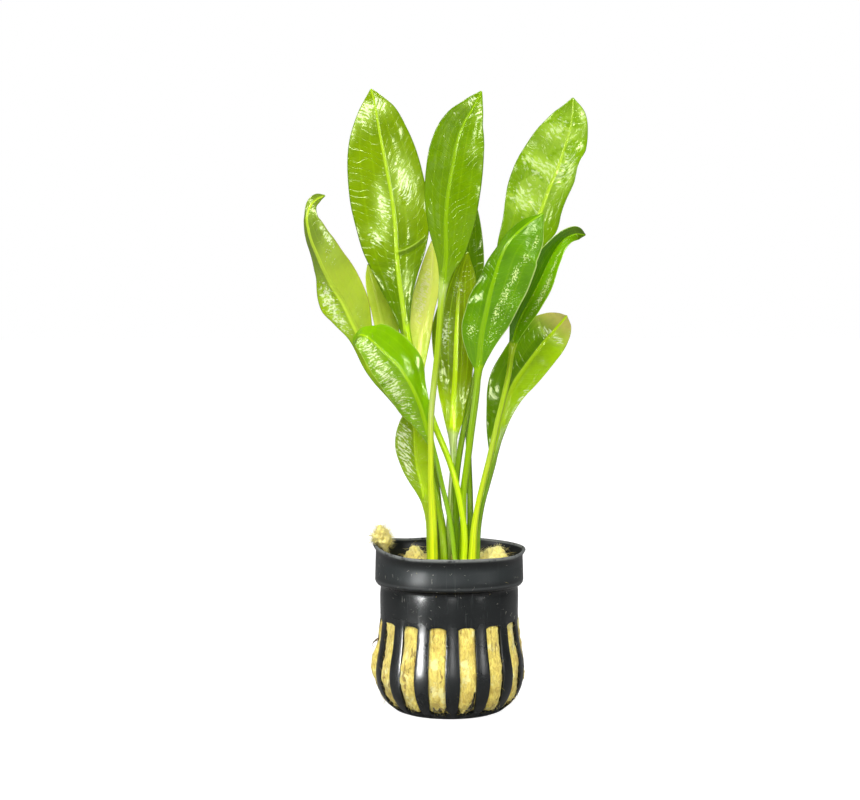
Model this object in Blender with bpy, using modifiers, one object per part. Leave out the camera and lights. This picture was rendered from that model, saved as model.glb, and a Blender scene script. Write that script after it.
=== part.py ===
"""Amazon sword plant in a slotted net pot with rock wool.

Metres, +Z up. The origin is the middle of the pot's underside and the pot's axis is Z.
The plant is seen from -Y with +X to the right. Sizes below are in millimetres.
"""
import math

import bmesh
import bpy
from mathutils import Matrix, Vector

MM = 0.001
CLEARANCE = 0.3            # gap left between pieces that touch

# Pot: outer radius and height of its turned wall, from the lip down to the foot.
LIP_TOP = 53.0
WALL = 1.0
FLOOR = 1.2
POT_WALL = (
    (24.7, LIP_TOP), (25.0, 52.6), (24.2, 51.2), (24.1, 42.6), (22.8, 40.0), (22.6, 31.0),
    (23.2, 24.0), (24.2, 18.5), (24.8, 13.5), (24.0, 8.5), (22.0, 4.5), (19.2, 1.6), (16.3, 0.0),
)
POT_STEPS = 60
SLOTS = 15
SLOT_WIDTH = 5.6
SLOT_FOOT = 1.6
SLOT_TOP = 30.4
SLOT_INNER_END = 17.4
SLOT_OUTER_END = 30.0
FIRST_SLOT = 14.0          # degrees to the right of the front
DRAINS = 5
DRAIN_WIDTH = 3.0
DRAIN_LENGTH = 6.0
DRAIN_RADIUS = 10.5

# Rock wool: a plug with a pad in every slot and a well for the crown.
WOOL_STEPS = 75            # five for each slot, so the pads line up with the slots
PAD_REACH = 0.9            # how far a pad stands out into its slot
LEFT_SLOT = 11             # this slot's pad bulges out past the wall
LEFT_BULGE = 1.5
LEFT_BULGE_HEIGHTS = (12.0, 20.0)
WELL_RADIUS = 11.3
WELL_FLOOR = 43.0
WOOL_LEVEL = 48.5          # its top between the mounds
WOOL_TOP = (               # radius and height, from the well's edge out to the pot's wall
    (WELL_RADIUS - 0.8, 44.5), (WELL_RADIUS + 0.6, 47.5), (15.5, WOOL_LEVEL), (19.5, 48.0),
    (21.2, 44.0),
)
WOOL_LOOSE_ABOVE = 47.0    # only the points above this follow the mounds
WELL_SHIFT_ENDS = 18.0     # radius at which the wool is centred on the pot again
NECK_RADIUS = 22.3         # of the pot's outside at the slots' tops
TUFT_MIDDLE = (-22.2, -1.0, 57.2)
TUFT_HALF_WIDTH = 3.5
TUFT_NARROWING = 0.9       # how much narrower it is at its top
TUFT_HALF_DEPTH = 3.4
TUFT_RISE = 4.1            # from its middle to its top
TUFT_DROP = 6.4            # from its middle to its hanging end
TUFT_SWELL = 0.13          # share by which its lumps stand out
TUFT_BEND = -22.9          # inside this the tuft hangs down into the pot
TUFT_HANG = 50.5

# Crown: the short rootstock that every stalk rises from.
CROWN_PLACE = (0.8, -1.5)
CROWN_RADIUS = 10.4
CROWN_TOP = 46.5
CROWN_STEPS = 24

BLADE_THICKNESS = 0.6
LEAST_HALF_WIDTH = 0.25
BLADE_OPENS = 2.6          # half width, in rib radii, at which a stalk has become a flat blade
KEEL = 0.9                 # how far the midrib stands out below, in rib radii
STALK_FOOT = CROWN_TOP + CLEARANCE
RING_POINTS = 10
STALK_RING_GAP = 15.0
BLADE_RING_GAP = 7.0

# Leaves. stalk: points from the crown up, (x, y, z). radius: of the stalk at its foot and top.
# blade: points of the midrib, (x, y, z, left half width, right half width), ending at the tip.
# fold: how far each half tips towards the upper face, in degrees; curl: how much more it
# turns on its way to the margin. Either is one number or knots of (share of blade, degrees).
# facing: the way the upper face looks. tone: which of the greens below it has.
LEAVES = {
    "leaf_left_tall": dict(
        stalk=((4.5, -5, STALK_FOOT), (4.9, -5.5, 58), (3.3, -6.2, 70), (0, -6, 82),
               (-4.5, -5, 93), (-8.2, -3, 103.5), (-12, -0.5, 116)),
        radius=(1.1, 1.0), tone="bright",
        blade=((-14, 1, 124, 2, 1.4), (-15, 2.5, 131, 3.8, 2.6), (-16.4, 4.5, 141, 7.4, 6.2),
               (-17.3, 6.5, 150.2, 11, 10), (-17.9, 8.5, 160.2, 13.3, 11.9),
               (-19.1, 10.5, 169.3, 13.9, 11.9), (-21.2, 12.5, 180.5, 12.7, 11.1),
               (-22.8, 14, 188.7, 10.4, 9.5), (-24.2, 15, 196.8, 6.3, 6.5),
               (-25.2, 15.6, 201.8, 2.6, 2.4), (-25.9, 16, 204.2, 0.3, 0.3)),
        left_fold=8, right_fold=12),
    "leaf_front_tall": dict(
        stalk=((-5.3, -7, STALK_FOOT), (-5.5, -9.6, 64), (-6, -12, 78), (-6, -15, 97),
               (-5.2, -16.6, 106), (-3.9, -18.6, 118), (-3.2, -20, 128)),
        radius=(1.7, 1.0), tone="bright",
        blade=((-2.4, -21, 136.9, 1.3, 1.3), (-1.8, -21.6, 142.9, 1.9, 2.8),
               (-1.3, -22.2, 148.8, 3.4, 6), (-1.4, -23, 157.7, 5.8, 9.1),
               (-0.8, -23.6, 166.6, 7.4, 10.1), (0.8, -24, 176.5, 8.4, 9.7),
               (2.4, -24.2, 184.4, 7.8, 8.6), (4.3, -24, 189.4, 6.4, 6.8),
               (6.6, -23.8, 193.3, 4.3, 4.3), (8.4, -23.4, 196.5, 2.4, 2),
               (9.7, -23, 199.2, 0.3, 0.3)),
        left_fold=14, right_fold=10),
    "leaf_right_tall": dict(
        stalk=((2.9, 0.5, STALK_FOOT), (2.2, 2.4, 72), (3.4, 3.6, 84), (6, 5.6, 97), (9, 7.8, 110),
               (13, 10.4, 125)),
        radius=(1.1, 1.0), tone="bright",
        blade=((15.5, 11.8, 133, 2.5, 2.5), (18.6, 13, 139.5, 4.8, 5), (23.8, 15, 150.1, 8.6, 7.6),
               (28, 16.4, 157.8, 11.2, 9.1), (31, 17.6, 164.9, 13, 9.6), (33.9, 18.8, 172.6, 13.8, 9.6),
               (36.4, 19.8, 178.2, 13.5, 9.1), (38.4, 20.8, 184.3, 12, 7.6),
               (40.5, 21.8, 191, 9.5, 6.3), (41.6, 22.8, 197.2, 5.7, 4.3),
               (41.7, 23.4, 202.1, 0.3, 0.3)),
        left_fold=6, right_fold=((0, 10), (0.35, 30), (0.65, 40), (0.85, 5)),
        right_curl=((0, 0), (0.35, 110), (0.68, 110), (0.82, 0))),
    "leaf_right_front": dict(
        stalk=((4.4, -2, STALK_FOOT), (4.5, -2.8, 61), (4.6, -3.6, 72), (5.7, -5.2, 81),
               (7, -7.6, 92), (8.5, -10.2, 104)),
        radius=(1.15, 1.1), tone="dark",
        blade=((9.2, -12, 111.6, 1.4, 1.2), (9.6, -13.2, 117, 4.2, 3.2),
               (10.3, -14.4, 124.1, 6.8, 6.6), (11.5, -15.4, 130, 6.8, 8.8),
               (12.7, -16.4, 136, 6.6, 10.4), (14, -17.2, 141, 6.2, 11.4),
               (15.7, -18, 146.9, 5.8, 11.8), (18, -18.8, 151.8, 5, 11.4),
               (21.3, -19.2, 155.5, 4.4, 10), (25.4, -19.2, 159, 3, 6.8),
               (29.4, -19, 161.5, 0.3, 0.3)),
        left_fold=((0, 0), (0.35, -15), (0.55, -50), (0.7, -62)), right_fold=6),
    "leaf_right_folded": dict(
        stalk=((7.2, -3.6, STALK_FOOT), (8, -4, 59.5), (9.3, -4.5, 68), (11.2, -4.5, 76),
               (13.2, -4.5, 84), (15.4, -4.5, 94), (17.7, -4.5, 103.5), (19.3, -4, 111)),
        radius=(1.45, 0.9), tone="green",
        blade=((20.4, -3.5, 119, 1.2, 1.2), (22.6, -2.7, 127, 4.2, 4), (26, -2, 133.6, 7.2, 5.4),
               (29.4, -1, 140.4, 7.6, 5.8), (32.4, -0.3, 146.8, 6.6, 4.8), (35, 0.3, 151.3, 4.8, 3.6),
               (38, 1.2, 154.4, 3.4, 2.8), (41.4, 3, 155.8, 2.6, 2.2), (44.6, 6, 155.6, 0.3, 0.3)),
        left_fold=((0, 35), (0.7, 45), (1, 20)), right_fold=((0, 35), (0.7, 45), (1, 20))),
    "leaf_right_low": dict(
        stalk=((8.9, -0.5, STALK_FOOT), (9.3, 0.4, 59), (10.4, 1, 66.5), (12.4, 2, 74), (14.1, 3, 80)),
        radius=(1.1, 1.1), tone="green",
        blade=((14.8, 3.6, 83.5, 1.8, 1.2), (16.6, 4.8, 90, 4.4, 1.4), (18.5, 6.2, 97.5, 6.4, 2.8),
               (21.2, 8.2, 106, 8.4, 5.6), (25.5, 10, 112.4, 9.1, 6.7), (30.1, 12, 118.4, 9.3, 7),
               (33.3, 13.6, 122.1, 8.7, 6.7), (36.4, 16.5, 125.5, 6.3, 5.3),
               (38.6, 19.5, 127.7, 3.4, 3.2), (39.8, 22, 128.9, 0.3, 0.3)),
        left_fold=0, right_fold=5),
    "leaf_left_curled": dict(
        stalk=((-1.4, -2.5, STALK_FOOT), (-2.2, -1.2, 59), (-3.7, -0.4, 67), (-6, 0.4, 77),
               (-9, 1, 87), (-12.4, 1.3, 93.7), (-16.7, 1.2, 100)),
        radius=(1.3, 1.2), tone="green",
        blade=((-20.4, 0.8, 104.5, 1.3, 1.3), (-23.4, 0.4, 108.2, 1.6, 1.6), (-26, 0, 113, 2.2, 2.2),
               (-29.4, -1.4, 122.8, 3.7, 4.8), (-32, -2.4, 128.4, 5.8, 7.1),
               (-34.5, -3.4, 133.6, 8, 8.4), (-37.6, -4.4, 138.4, 8, 9.2),
               (-40.4, -5.4, 143.5, 6.4, 9), (-42.6, -6.2, 148.6, 4.6, 7.9),
               (-44.4, -6.8, 152.9, 3.2, 6.9), (-45.4, -7.2, 156.8, 2.4, 5.6),
               (-45.9, -7, 160.8, 1.8, 4), (-44.6, -5.5, 164.8, 1.8, 2),
               (-42.5, -3.5, 167, 1.7, 1.3), (-40.4, -1.5, 168, 0.3, 0.3)),
        left_fold=((0, 0), (0.4, -10), (0.6, -60), (0.85, -60), (0.95, 0)), right_fold=8),
    "leaf_left_front": dict(
        stalk=((2, -6, STALK_FOOT), (0.8, -6.6, 58.5), (-0.6, -7.4, 67), (-2.3, -8.3, 74),
               (-4.2, -9.6, 82.5)),
        radius=(0.8, 0.8), tone="green",
        blade=((-5.6, -10.6, 87.5, 1.2, 0.9), (-7.6, -12, 93.8, 3.2, 2), (-9.4, -13.6, 100, 6.6, 3.4),
               (-11.2, -14.8, 104.6, 7.8, 5), (-13.5, -16.2, 109, 8.6, 8),
               (-16, -17.4, 112.8, 8.9, 9.4), (-19.4, -18.8, 116.4, 8.4, 10),
               (-23.1, -20, 119.9, 6.9, 9.2), (-26.1, -20.6, 122.5, 5.2, 6.6),
               (-28.4, -18.6, 123.1, 3.8, 4.6), (-29.9, -15.5, 121.6, 2, 2.2),
               (-30.5, -13, 119.6, 0.3, 0.3)),
        left_fold=0, right_fold=-12, facing=(0, -0.85, 0.5)),
    "leaf_left_low": dict(
        stalk=((-6.3, -3, STALK_FOOT), (-6.4, -3, 56), (-6.7, -3, 63)),
        radius=(1.1, 1.1), tone="green",
        blade=((-7.4, -3, 68, 1.6, 1.4), (-8.2, -3, 72, 2.6, 2), (-9.2, -3, 76, 4, 2.9),
               (-10.4, -3, 81, 5.4, 4), (-11, -3, 86.5, 6.6, 4.2), (-11.3, -2.6, 92, 6, 3.8),
               (-11.9, -2, 96, 4.2, 2.8), (-12.6, -1.6, 99, 1.6, 1.4), (-13, -1.4, 100.5, 0.3, 0.3)),
        left_fold=4, right_fold=10),
    "leaf_left_back": dict(
        stalk=((-4.3, 1.5, STALK_FOOT), (-5, 3.5, 62), (-7, 5.2, 75), (-10.3, 7, 88),
               (-14.3, 9.4, 101)),
        radius=(1.1, 0.9), tone="pale",
        blade=((-17.3, 11.5, 110, 1.8, 2), (-19.6, 13.4, 118, 2.6, 4), (-21.8, 15.2, 125, 2.8, 5),
               (-23.4, 17, 131.5, 2.7, 4.6), (-25, 18.6, 137.6, 2.6, 3.6),
               (-26.4, 20, 142.4, 1.6, 1.9), (-27.1, 21, 146.2, 0.3, 0.3)),
        left_fold=5, right_fold=5),
    "leaf_centre_pale": dict(
        stalk=((-2.7, 4.5, STALK_FOOT), (-3, 5.5, 62), (-4.3, 6.5, 75), (-6.3, 7.5, 88),
               (-8.3, 8.8, 101.5)),
        radius=(1.1, 0.9), tone="pale",
        blade=((-9.6, 9.6, 109, 1.4, 1.2), (-9.8, 10.4, 116, 3.2, 2.6), (-9.3, 11.4, 123, 4.3, 3.4),
               (-7.6, 12.6, 131, 5.5, 2.9), (-6, 14, 139.6, 4.9, 3.2), (-5.4, 15.2, 147.2, 3.2, 2.2),
               (-5.5, 15.8, 151.3, 1.6, 1.2), (-5.6, 16.2, 153.9, 0.3, 0.3)),
        left_fold=5, right_fold=5),
    "leaf_centre_back": dict(
        stalk=((-0.7, 2, STALK_FOOT), (0.3, 3.4, 62), (0.9, 5, 72), (1.6, 6.8, 81.5)),
        radius=(1.2, 1.2), tone="olive",
        blade=((1.3, 8.2, 88, 1.4, 1.4), (1.3, 9.8, 95, 3, 3.6), (1.6, 11.2, 102, 4.9, 5),
               (2, 12.6, 109, 6.3, 5.8), (2.3, 14.6, 118, 7.8, 6.2), (2.6, 16.2, 125.5, 8.1, 6.7),
               (3.1, 18.4, 134.5, 5.9, 6.7), (3.7, 19.8, 140.6, 3.9, 5.7),
               (4.7, 21, 145.6, 2.2, 3.9), (6.4, 22, 150.4, 0.3, 0.3)),
        left_fold=3, right_fold=3),
    "leaf_back_upright": dict(
        stalk=((6.8, 1.5, STALK_FOOT), (6.9, 5, 68.5), (6.6, 8, 80), (6.3, 11.8, 92),
               (5.8, 16, 104.5), (5.2, 20, 117)),
        radius=(1.1, 0.9), tone="dark",
        blade=((5, 22.4, 126, 3, 3), (4.9, 24.2, 133, 4.7, 5.3), (4.9, 26.6, 144.2, 6.1, 7.1),
               (4.9, 29, 156.3, 5.9, 6.6), (4.9, 31, 166.5, 4.3, 4.7), (4.7, 32, 171.8, 2.4, 2.6),
               (4.6, 32.8, 175.4, 0.3, 0.3)),
        left_fold=5, right_fold=5),
}


LEAF_COLOURS = {
    "bright": (0.22, 0.43, 0.005),
    "green": (0.13, 0.38, 0.005),
    "dark": (0.07, 0.24, 0.005),
    "pale": (0.50, 0.63, 0.09),
    "olive": (0.21, 0.30, 0.01),
}


def clear_scene():
    for item in list(bpy.data.objects):
        bpy.data.objects.remove(item, do_unlink=True)


def collection(name):
    made = bpy.data.collections.new(name)
    bpy.context.scene.collection.children.link(made)
    return made


def material(name, colour, roughness):
    made = bpy.data.materials.new(name)
    made.use_nodes = True
    shader = made.node_tree.nodes["Principled BSDF"]
    shader.inputs["Base Color"].default_value = (*colour, 1)
    shader.inputs["Roughness"].default_value = roughness
    shader.inputs["Metallic"].default_value = 0
    return made


def add_object(name, mesh, finish, holder):
    made = bpy.data.objects.new(name, mesh)
    if finish:
        mesh.materials.append(finish)
    holder.objects.link(made)
    return made


def mesh_from(name, bm):
    bmesh.ops.scale(bm, vec=(MM, MM, MM), verts=bm.verts)
    mesh = bpy.data.meshes.new(name)
    bm.to_mesh(mesh)
    bm.free()
    mesh.shade_smooth()
    mesh.set_sharp_from_angle(angle=math.radians(35))
    return mesh


def turned(name, profile, steps, finish, holder):
    """A solid of revolution from its (radius, height) profile, given from the top down."""
    bm = bmesh.new()
    points = [bm.verts.new((radius, 0, height)) for radius, height in profile]
    for first, second in zip(points, points[1:]):
        bm.edges.new((first, second))
    made = add_object(name, mesh_from(name, bm), finish, holder)
    screw = made.modifiers.new("turn", "SCREW")
    screw.steps = steps
    screw.render_steps = steps
    screw.use_merge_vertices = True
    screw.merge_threshold = 0.00001
    return made


def cutter(name, bm, holder):
    made = add_object(name, mesh_from(name, bm), None, holder)
    made.hide_render = True
    made.display_type = "WIRE"
    return made


def around(angle, radius=0.0, height=0.0):
    """Turns about Z by angle and shifts to that radius; 0 is the front, growing to the right."""
    turn = Matrix.Rotation(math.radians(angle - 90), 4, "Z")
    return turn @ Matrix.Translation((radius, 0, height))


def slot_angle(index):
    return FIRST_SLOT + index * 360 / SLOTS


# Pot ---------------------------------------------------------------------------------------


def inner_wall():
    """The wall's inside, (radius, height) from the lip down to the floor."""
    inside = [(radius - WALL, height) for radius, height in POT_WALL[1:-1]]
    inside[0] = (POT_WALL[1][0] - 1.2 * WALL, LIP_TOP)
    inside[-1] = (POT_WALL[-2][0] - 1.1 * WALL, FLOOR + WALL)
    return inside


def build_pot(parts, cutters):
    inside = inner_wall()
    floor_edge = (inside[-1][0] - WALL, FLOOR)
    profile = list(POT_WALL) + [(0, 0)]
    profile = [(0, FLOOR), floor_edge] + inside[::-1] + profile
    finish = material("black plastic", (0.02, 0.022, 0.023), 0.35)
    pot = turned("net_pot", profile, POT_STEPS, finish, parts)
    pot.rotation_euler.z = math.radians(slot_angle(0) - 90 + 180 / POT_STEPS)

    bm = bmesh.new()
    depth, height = SLOT_OUTER_END - SLOT_INNER_END, SLOT_TOP - SLOT_FOOT
    for index in range(SLOTS):
        middle = around(slot_angle(index), SLOT_INNER_END + depth / 2, SLOT_FOOT + height / 2)
        size = Matrix.Diagonal((depth, SLOT_WIDTH, height, 1))
        bmesh.ops.create_cube(bm, size=1, matrix=middle @ size)
    for index in range(DRAINS):
        middle = around(index * 360 / DRAINS, DRAIN_RADIUS, 0)
        size = Matrix.Diagonal((DRAIN_LENGTH, DRAIN_WIDTH, 4 * FLOOR, 1))
        bmesh.ops.create_cube(bm, size=1, matrix=middle @ size)
    cut = pot.modifiers.new("slots", "BOOLEAN")
    cut.operation = "DIFFERENCE"
    cut.solver = "EXACT"
    cut.object = cutter("slot_cutter", bm, cutters)


# Rock wool ---------------------------------------------------------------------------------


def ramp(value, low, high):
    share = min(max((value - low) / (high - low), 0), 1)
    return share * share * (3 - 2 * share)


def wool_height(x, y):
    """How high the wool stands round the crown: a torn left front, mounds left and right."""
    right = 4.5 * math.exp(-((x - 15) / 6) ** 2 - ((y - 4) / 9) ** 2)
    left = 5.5 * math.exp(-((x + 12) / 4) ** 2 - ((y - 8) / 6) ** 2)
    hollow = 6.0 * ramp(-x, 13, 17) * ramp(y + 16, 0, 8)
    return WOOL_LEVEL + right + left - hollow


def build_wool(parts):
    fit = WALL + CLEARANCE
    side = [(radius - fit, height) for radius, height in POT_WALL[4:-1]]
    side[-1] = (side[-1][0] - 0.6, FLOOR + 1.4)
    neck = NECK_RADIUS - fit
    side[1:2] = [(neck, SLOT_TOP + 1.2), (neck, SLOT_TOP - 1.0)]
    profile = [(0, WELL_FLOOR), (WELL_RADIUS - 1, WELL_FLOOR)] + list(WOOL_TOP) + side
    profile += [(side[-1][0] - 2, FLOOR + CLEARANCE), (0, FLOOR + CLEARANCE)]
    bm = bmesh.new()
    points = [bm.verts.new((radius, 0, height)) for radius, height in profile]
    edges = [bm.edges.new(pair) for pair in zip(points, points[1:])]
    bmesh.ops.spin(bm, geom=points + edges, cent=(0, 0, 0), axis=(0, 0, 1), steps=WOOL_STEPS,
                   angle=math.tau, use_merge=True)
    bmesh.ops.remove_doubles(bm, verts=bm.verts, dist=0.001)
    half_step = 180 / WOOL_STEPS
    bmesh.ops.rotate(bm, cent=(0, 0, 0), verts=bm.verts,
                     matrix=Matrix.Rotation(math.radians(slot_angle(0) - 90 + half_step), 3, "Z"))
    bmesh.ops.recalc_face_normals(bm, faces=bm.faces)
    pitch = 360 / SLOTS
    for point in bm.verts:
        radius = math.hypot(point.co.x, point.co.y)
        bearing = math.degrees(math.atan2(point.co.y, point.co.x)) + 90 - slot_angle(0)
        place = bearing / pitch
        off_slot = abs(place - round(place)) * pitch
        in_slot = SLOT_FOOT + 2 < point.co.z < SLOT_TOP and radius > SLOT_INNER_END
        if in_slot and off_slot < 2 * half_step:
            reach = PAD_REACH
            low, high = LEFT_BULGE_HEIGHTS
            if round(place) % SLOTS == LEFT_SLOT and low < point.co.z < high:
                reach += LEFT_BULGE
            point.co.x *= (radius + reach) / radius
            point.co.y *= (radius + reach) / radius
        if point.co.z > WELL_FLOOR - 1 and radius < WELL_SHIFT_ENDS:
            shift = 1 - ramp(radius, WELL_RADIUS, WELL_SHIFT_ENDS)
            point.co.x += CROWN_PLACE[0] * shift
            point.co.y += CROWN_PLACE[1] * shift
        if point.co.z > WOOL_LOOSE_ABOVE and radius > WELL_RADIUS - 0.5:
            point.co.z += wool_height(point.co.x, point.co.y) - WOOL_LEVEL
    finish = material("rock wool", (0.78, 0.68, 0.18), 0.95)
    add_object("rock_wool_plug", mesh_from("rock_wool_plug", bm), finish, parts)
    return finish


def build_tuft(parts, finish):
    """A torn lump caught on the lip at the left, with an end hanging inside the pot."""
    bm = bmesh.new()
    bmesh.ops.create_icosphere(bm, subdivisions=2, radius=1)
    for point in bm.verts:
        x, y, z = point.co
        swell = 1 + TUFT_SWELL * math.sin(5 * x + 2 * z) * math.cos(4 * y - z)
        width = TUFT_HALF_WIDTH - TUFT_NARROWING * z
        height = TUFT_RISE if z > 0 else TUFT_DROP
        point.co = Vector((x * width, y * TUFT_HALF_DEPTH, z * height)) * swell
        point.co += Vector(TUFT_MIDDLE)
        lowest = TUFT_HANG if point.co.x > TUFT_BEND else LIP_TOP + CLEARANCE
        point.co.z = max(point.co.z, lowest)
    for point in bm.verts:
        if point.co.z < LIP_TOP + CLEARANCE:
            point.co.x = max(point.co.x, TUFT_BEND + 0.6)
    add_object("rock_wool_tuft", mesh_from("rock_wool_tuft", bm), finish, parts)


def build_crown(parts):
    finish = material("crown", (0.42, 0.50, 0.12), 0.5)
    foot = WELL_FLOOR + CLEARANCE
    profile = ((0, CROWN_TOP), (CROWN_RADIUS - 0.8, CROWN_TOP), (CROWN_RADIUS - 0.3, CROWN_TOP - 0.6),
               (CROWN_RADIUS - 1.2, foot), (0, foot))
    crown = turned("crown", profile, CROWN_STEPS, finish, parts)
    crown.location = (CROWN_PLACE[0] * MM, CROWN_PLACE[1] * MM, 0)


# Leaves ------------------------------------------------------------------------------------


def knots_at(knots, share):
    if not isinstance(knots, tuple):
        return knots
    if share <= knots[0][0]:
        return knots[0][1]
    for (start, low), (end, high) in zip(knots, knots[1:]):
        if share <= end:
            return low + (high - low) * ramp(share, start, end)
    return knots[-1][1]


def leaf_rows(leaf):
    """One (x, y, z, left, right, rib radius) row for each point of the stalk and midrib."""
    foot, top = leaf["radius"]
    stalk, blade = leaf["stalk"], leaf["blade"]
    rows = []
    for index, point in enumerate(stalk):
        radius = foot + (top - foot) * min(index / 2, 1)
        rows.append((*point, radius, radius, radius))
    for index, row in enumerate(blade):
        share = index / (len(blade) - 1)
        rows.append((*row, top * (1 - 0.75 * share)))
    return rows


def smooth_path(rows):
    """Lengths along the rows and a function giving the smoothly blended row at a length."""
    lengths = [0.0]
    for first, second in zip(rows, rows[1:]):
        lengths.append(lengths[-1] + (Vector(second[:3]) - Vector(first[:3])).length)

    def slope(index, column):
        before, after = max(index - 1, 0), min(index + 1, len(rows) - 1)
        run = lengths[after] - lengths[before]
        return (rows[after][column] - rows[before][column]) / run

    def at(length):
        index = 0
        while index < len(rows) - 2 and length > lengths[index + 1]:
            index += 1
        span = lengths[index + 1] - lengths[index]
        t = (length - lengths[index]) / span
        blended = []
        for column in range(len(rows[0])):
            start, end = rows[index][column], rows[index + 1][column]
            rise, fall = slope(index, column) * span, slope(index + 1, column) * span
            blended.append((2 * t ** 3 - 3 * t ** 2 + 1) * start + (t ** 3 - 2 * t ** 2 + t) * rise
                           + (3 * t ** 2 - 2 * t ** 3) * end + (t ** 3 - t ** 2) * fall)
        return blended

    return lengths, at


def across(distance, fold, curl, width):
    """Place and surface angle of a point that far out along a half blade that curls evenly."""
    start = math.radians(fold - curl / 2)
    turn = math.radians(curl) / max(width, 0.1)
    if abs(turn) < 0.001:
        return distance * math.cos(start), distance * math.sin(start), start
    end = start + turn * distance
    return (math.sin(end) - math.sin(start)) / turn, (math.cos(start) - math.cos(end)) / turn, end


def ring_layout():
    """Side, share of the half width, share of the thickness and stalk angle of each ring point."""
    upper = [(-1, 1.0, 0, 180), (-1, 0.5, 1, 135), (1, 0.0, 1, 90), (1, 0.5, 1, 45), (1, 1.0, 0, 0)]
    lower = [(1, 0.5, -1, -30), (1, None, -1, -60), (1, 0.0, -2, -90), (-1, None, -1, -120),
             (-1, 0.5, -1, -150)]
    return upper + lower


def ring_points(leaf, row, tangent, share):
    x, y, z, left, right, rib = row
    facing = Vector(leaf.get("facing", (0, -1, 0)))
    sideways = tangent.cross(facing).normalized()
    normal = sideways.cross(tangent).normalized()
    middle = Vector((x, y, z))
    points = []
    for side, out, level, angle in ring_layout():
        width, name = (left, "left") if side < 0 else (right, "right")
        width = max(width, LEAST_HALF_WIDTH)
        fold = knots_at(leaf[name + "_fold"], share)
        curl = knots_at(leaf.get(name + "_curl", 0), share)
        opened = ramp(width, rib, BLADE_OPENS * rib)
        distance = min(rib, 0.4 * width) if out is None else out * width
        flat, lift, lean = across(distance, fold, curl, width)
        half = BLADE_THICKNESS / 2 * min(1, 0.35 + width / 3)
        depth = half * level if level > -2 else -half - KEEL * rib
        flat -= depth * math.sin(lean) if distance else 0
        lift += depth * math.cos(lean) if distance else depth
        flat = flat * opened + (1 - opened) * side * width * math.cos(math.radians(angle))
        lift = lift * opened + (1 - opened) * rib * math.sin(math.radians(angle))
        points.append(middle + sideways * side * flat + normal * lift)
    return points


def build_leaf(name, leaf, finish, parts):
    rows = leaf_rows(leaf)
    lengths, at = smooth_path(rows)
    blade_start = lengths[len(leaf["stalk"])]
    stalk_rings = max(2, round(blade_start / STALK_RING_GAP))
    blade_rings = max(4, round((lengths[-1] - blade_start) / BLADE_RING_GAP))
    stops = [blade_start * index / stalk_rings for index in range(stalk_rings)]
    stops += [blade_start + (lengths[-1] - blade_start) * index / blade_rings
              for index in range(blade_rings + 1)]
    bm = bmesh.new()
    rings = []
    for stop in stops:
        ahead = Vector(at(min(stop + 1, lengths[-1]))[:3])
        behind = Vector(at(max(stop - 1, 0))[:3])
        tangent = (ahead - behind).normalized()
        if stop == 0:
            tangent = Vector((0, 0, 1))
        share = max(0, (stop - blade_start) / (lengths[-1] - blade_start))
        rings.append([bm.verts.new(point) for point in ring_points(leaf, at(stop), tangent, share)])
    for lower, upper in zip(rings, rings[1:]):
        for index in range(RING_POINTS):
            after = (index + 1) % RING_POINTS
            bm.faces.new((lower[index], lower[after], upper[after], upper[index]))
    bm.faces.new(rings[0][::-1])
    bm.faces.new(rings[-1])
    bmesh.ops.recalc_face_normals(bm, faces=bm.faces)
    add_object(name, mesh_from(name, bm), finish, parts)


def main():
    clear_scene()
    parts = collection("potted amazon sword plant")
    cutters = collection("cutters")
    build_pot(parts, cutters)
    wool = build_wool(parts)
    build_tuft(parts, wool)
    build_crown(parts)
    greens = {tone: material("leaf " + tone, colour, 0.3) for tone, colour in LEAF_COLOURS.items()}
    for name, leaf in LEAVES.items():
        build_leaf(name, leaf, greens[leaf["tone"]], parts)


main()
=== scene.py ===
"""Amazon sword plant in a slotted net pot with rock wool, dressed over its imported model."""
import math
import random

import bmesh
import bpy
from mathutils import Matrix, Vector, noise
from mathutils.bvhtree import BVHTree


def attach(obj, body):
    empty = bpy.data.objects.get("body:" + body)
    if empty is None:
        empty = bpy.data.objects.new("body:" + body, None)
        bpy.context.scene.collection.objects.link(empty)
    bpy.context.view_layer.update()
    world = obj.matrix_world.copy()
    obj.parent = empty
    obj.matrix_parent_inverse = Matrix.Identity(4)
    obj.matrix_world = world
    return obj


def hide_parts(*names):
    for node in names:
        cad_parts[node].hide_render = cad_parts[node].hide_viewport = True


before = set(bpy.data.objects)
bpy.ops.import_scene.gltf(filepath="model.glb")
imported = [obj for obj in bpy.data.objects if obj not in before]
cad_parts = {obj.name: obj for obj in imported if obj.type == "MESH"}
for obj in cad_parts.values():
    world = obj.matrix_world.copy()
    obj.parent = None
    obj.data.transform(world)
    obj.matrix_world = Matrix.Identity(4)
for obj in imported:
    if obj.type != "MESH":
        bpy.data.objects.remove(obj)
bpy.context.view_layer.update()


# Net pot -----------------------------------------------------------------------------------
# A black moulded pot with a rolled lip, a plain collar and neck, and 15 upright slots. The
# wall is one skin of plastic 1 mm thick, with the mould's soft edges round every slot and
# drain. Its rim has warped: up at the left, the back and the right, and down in front.

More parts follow.
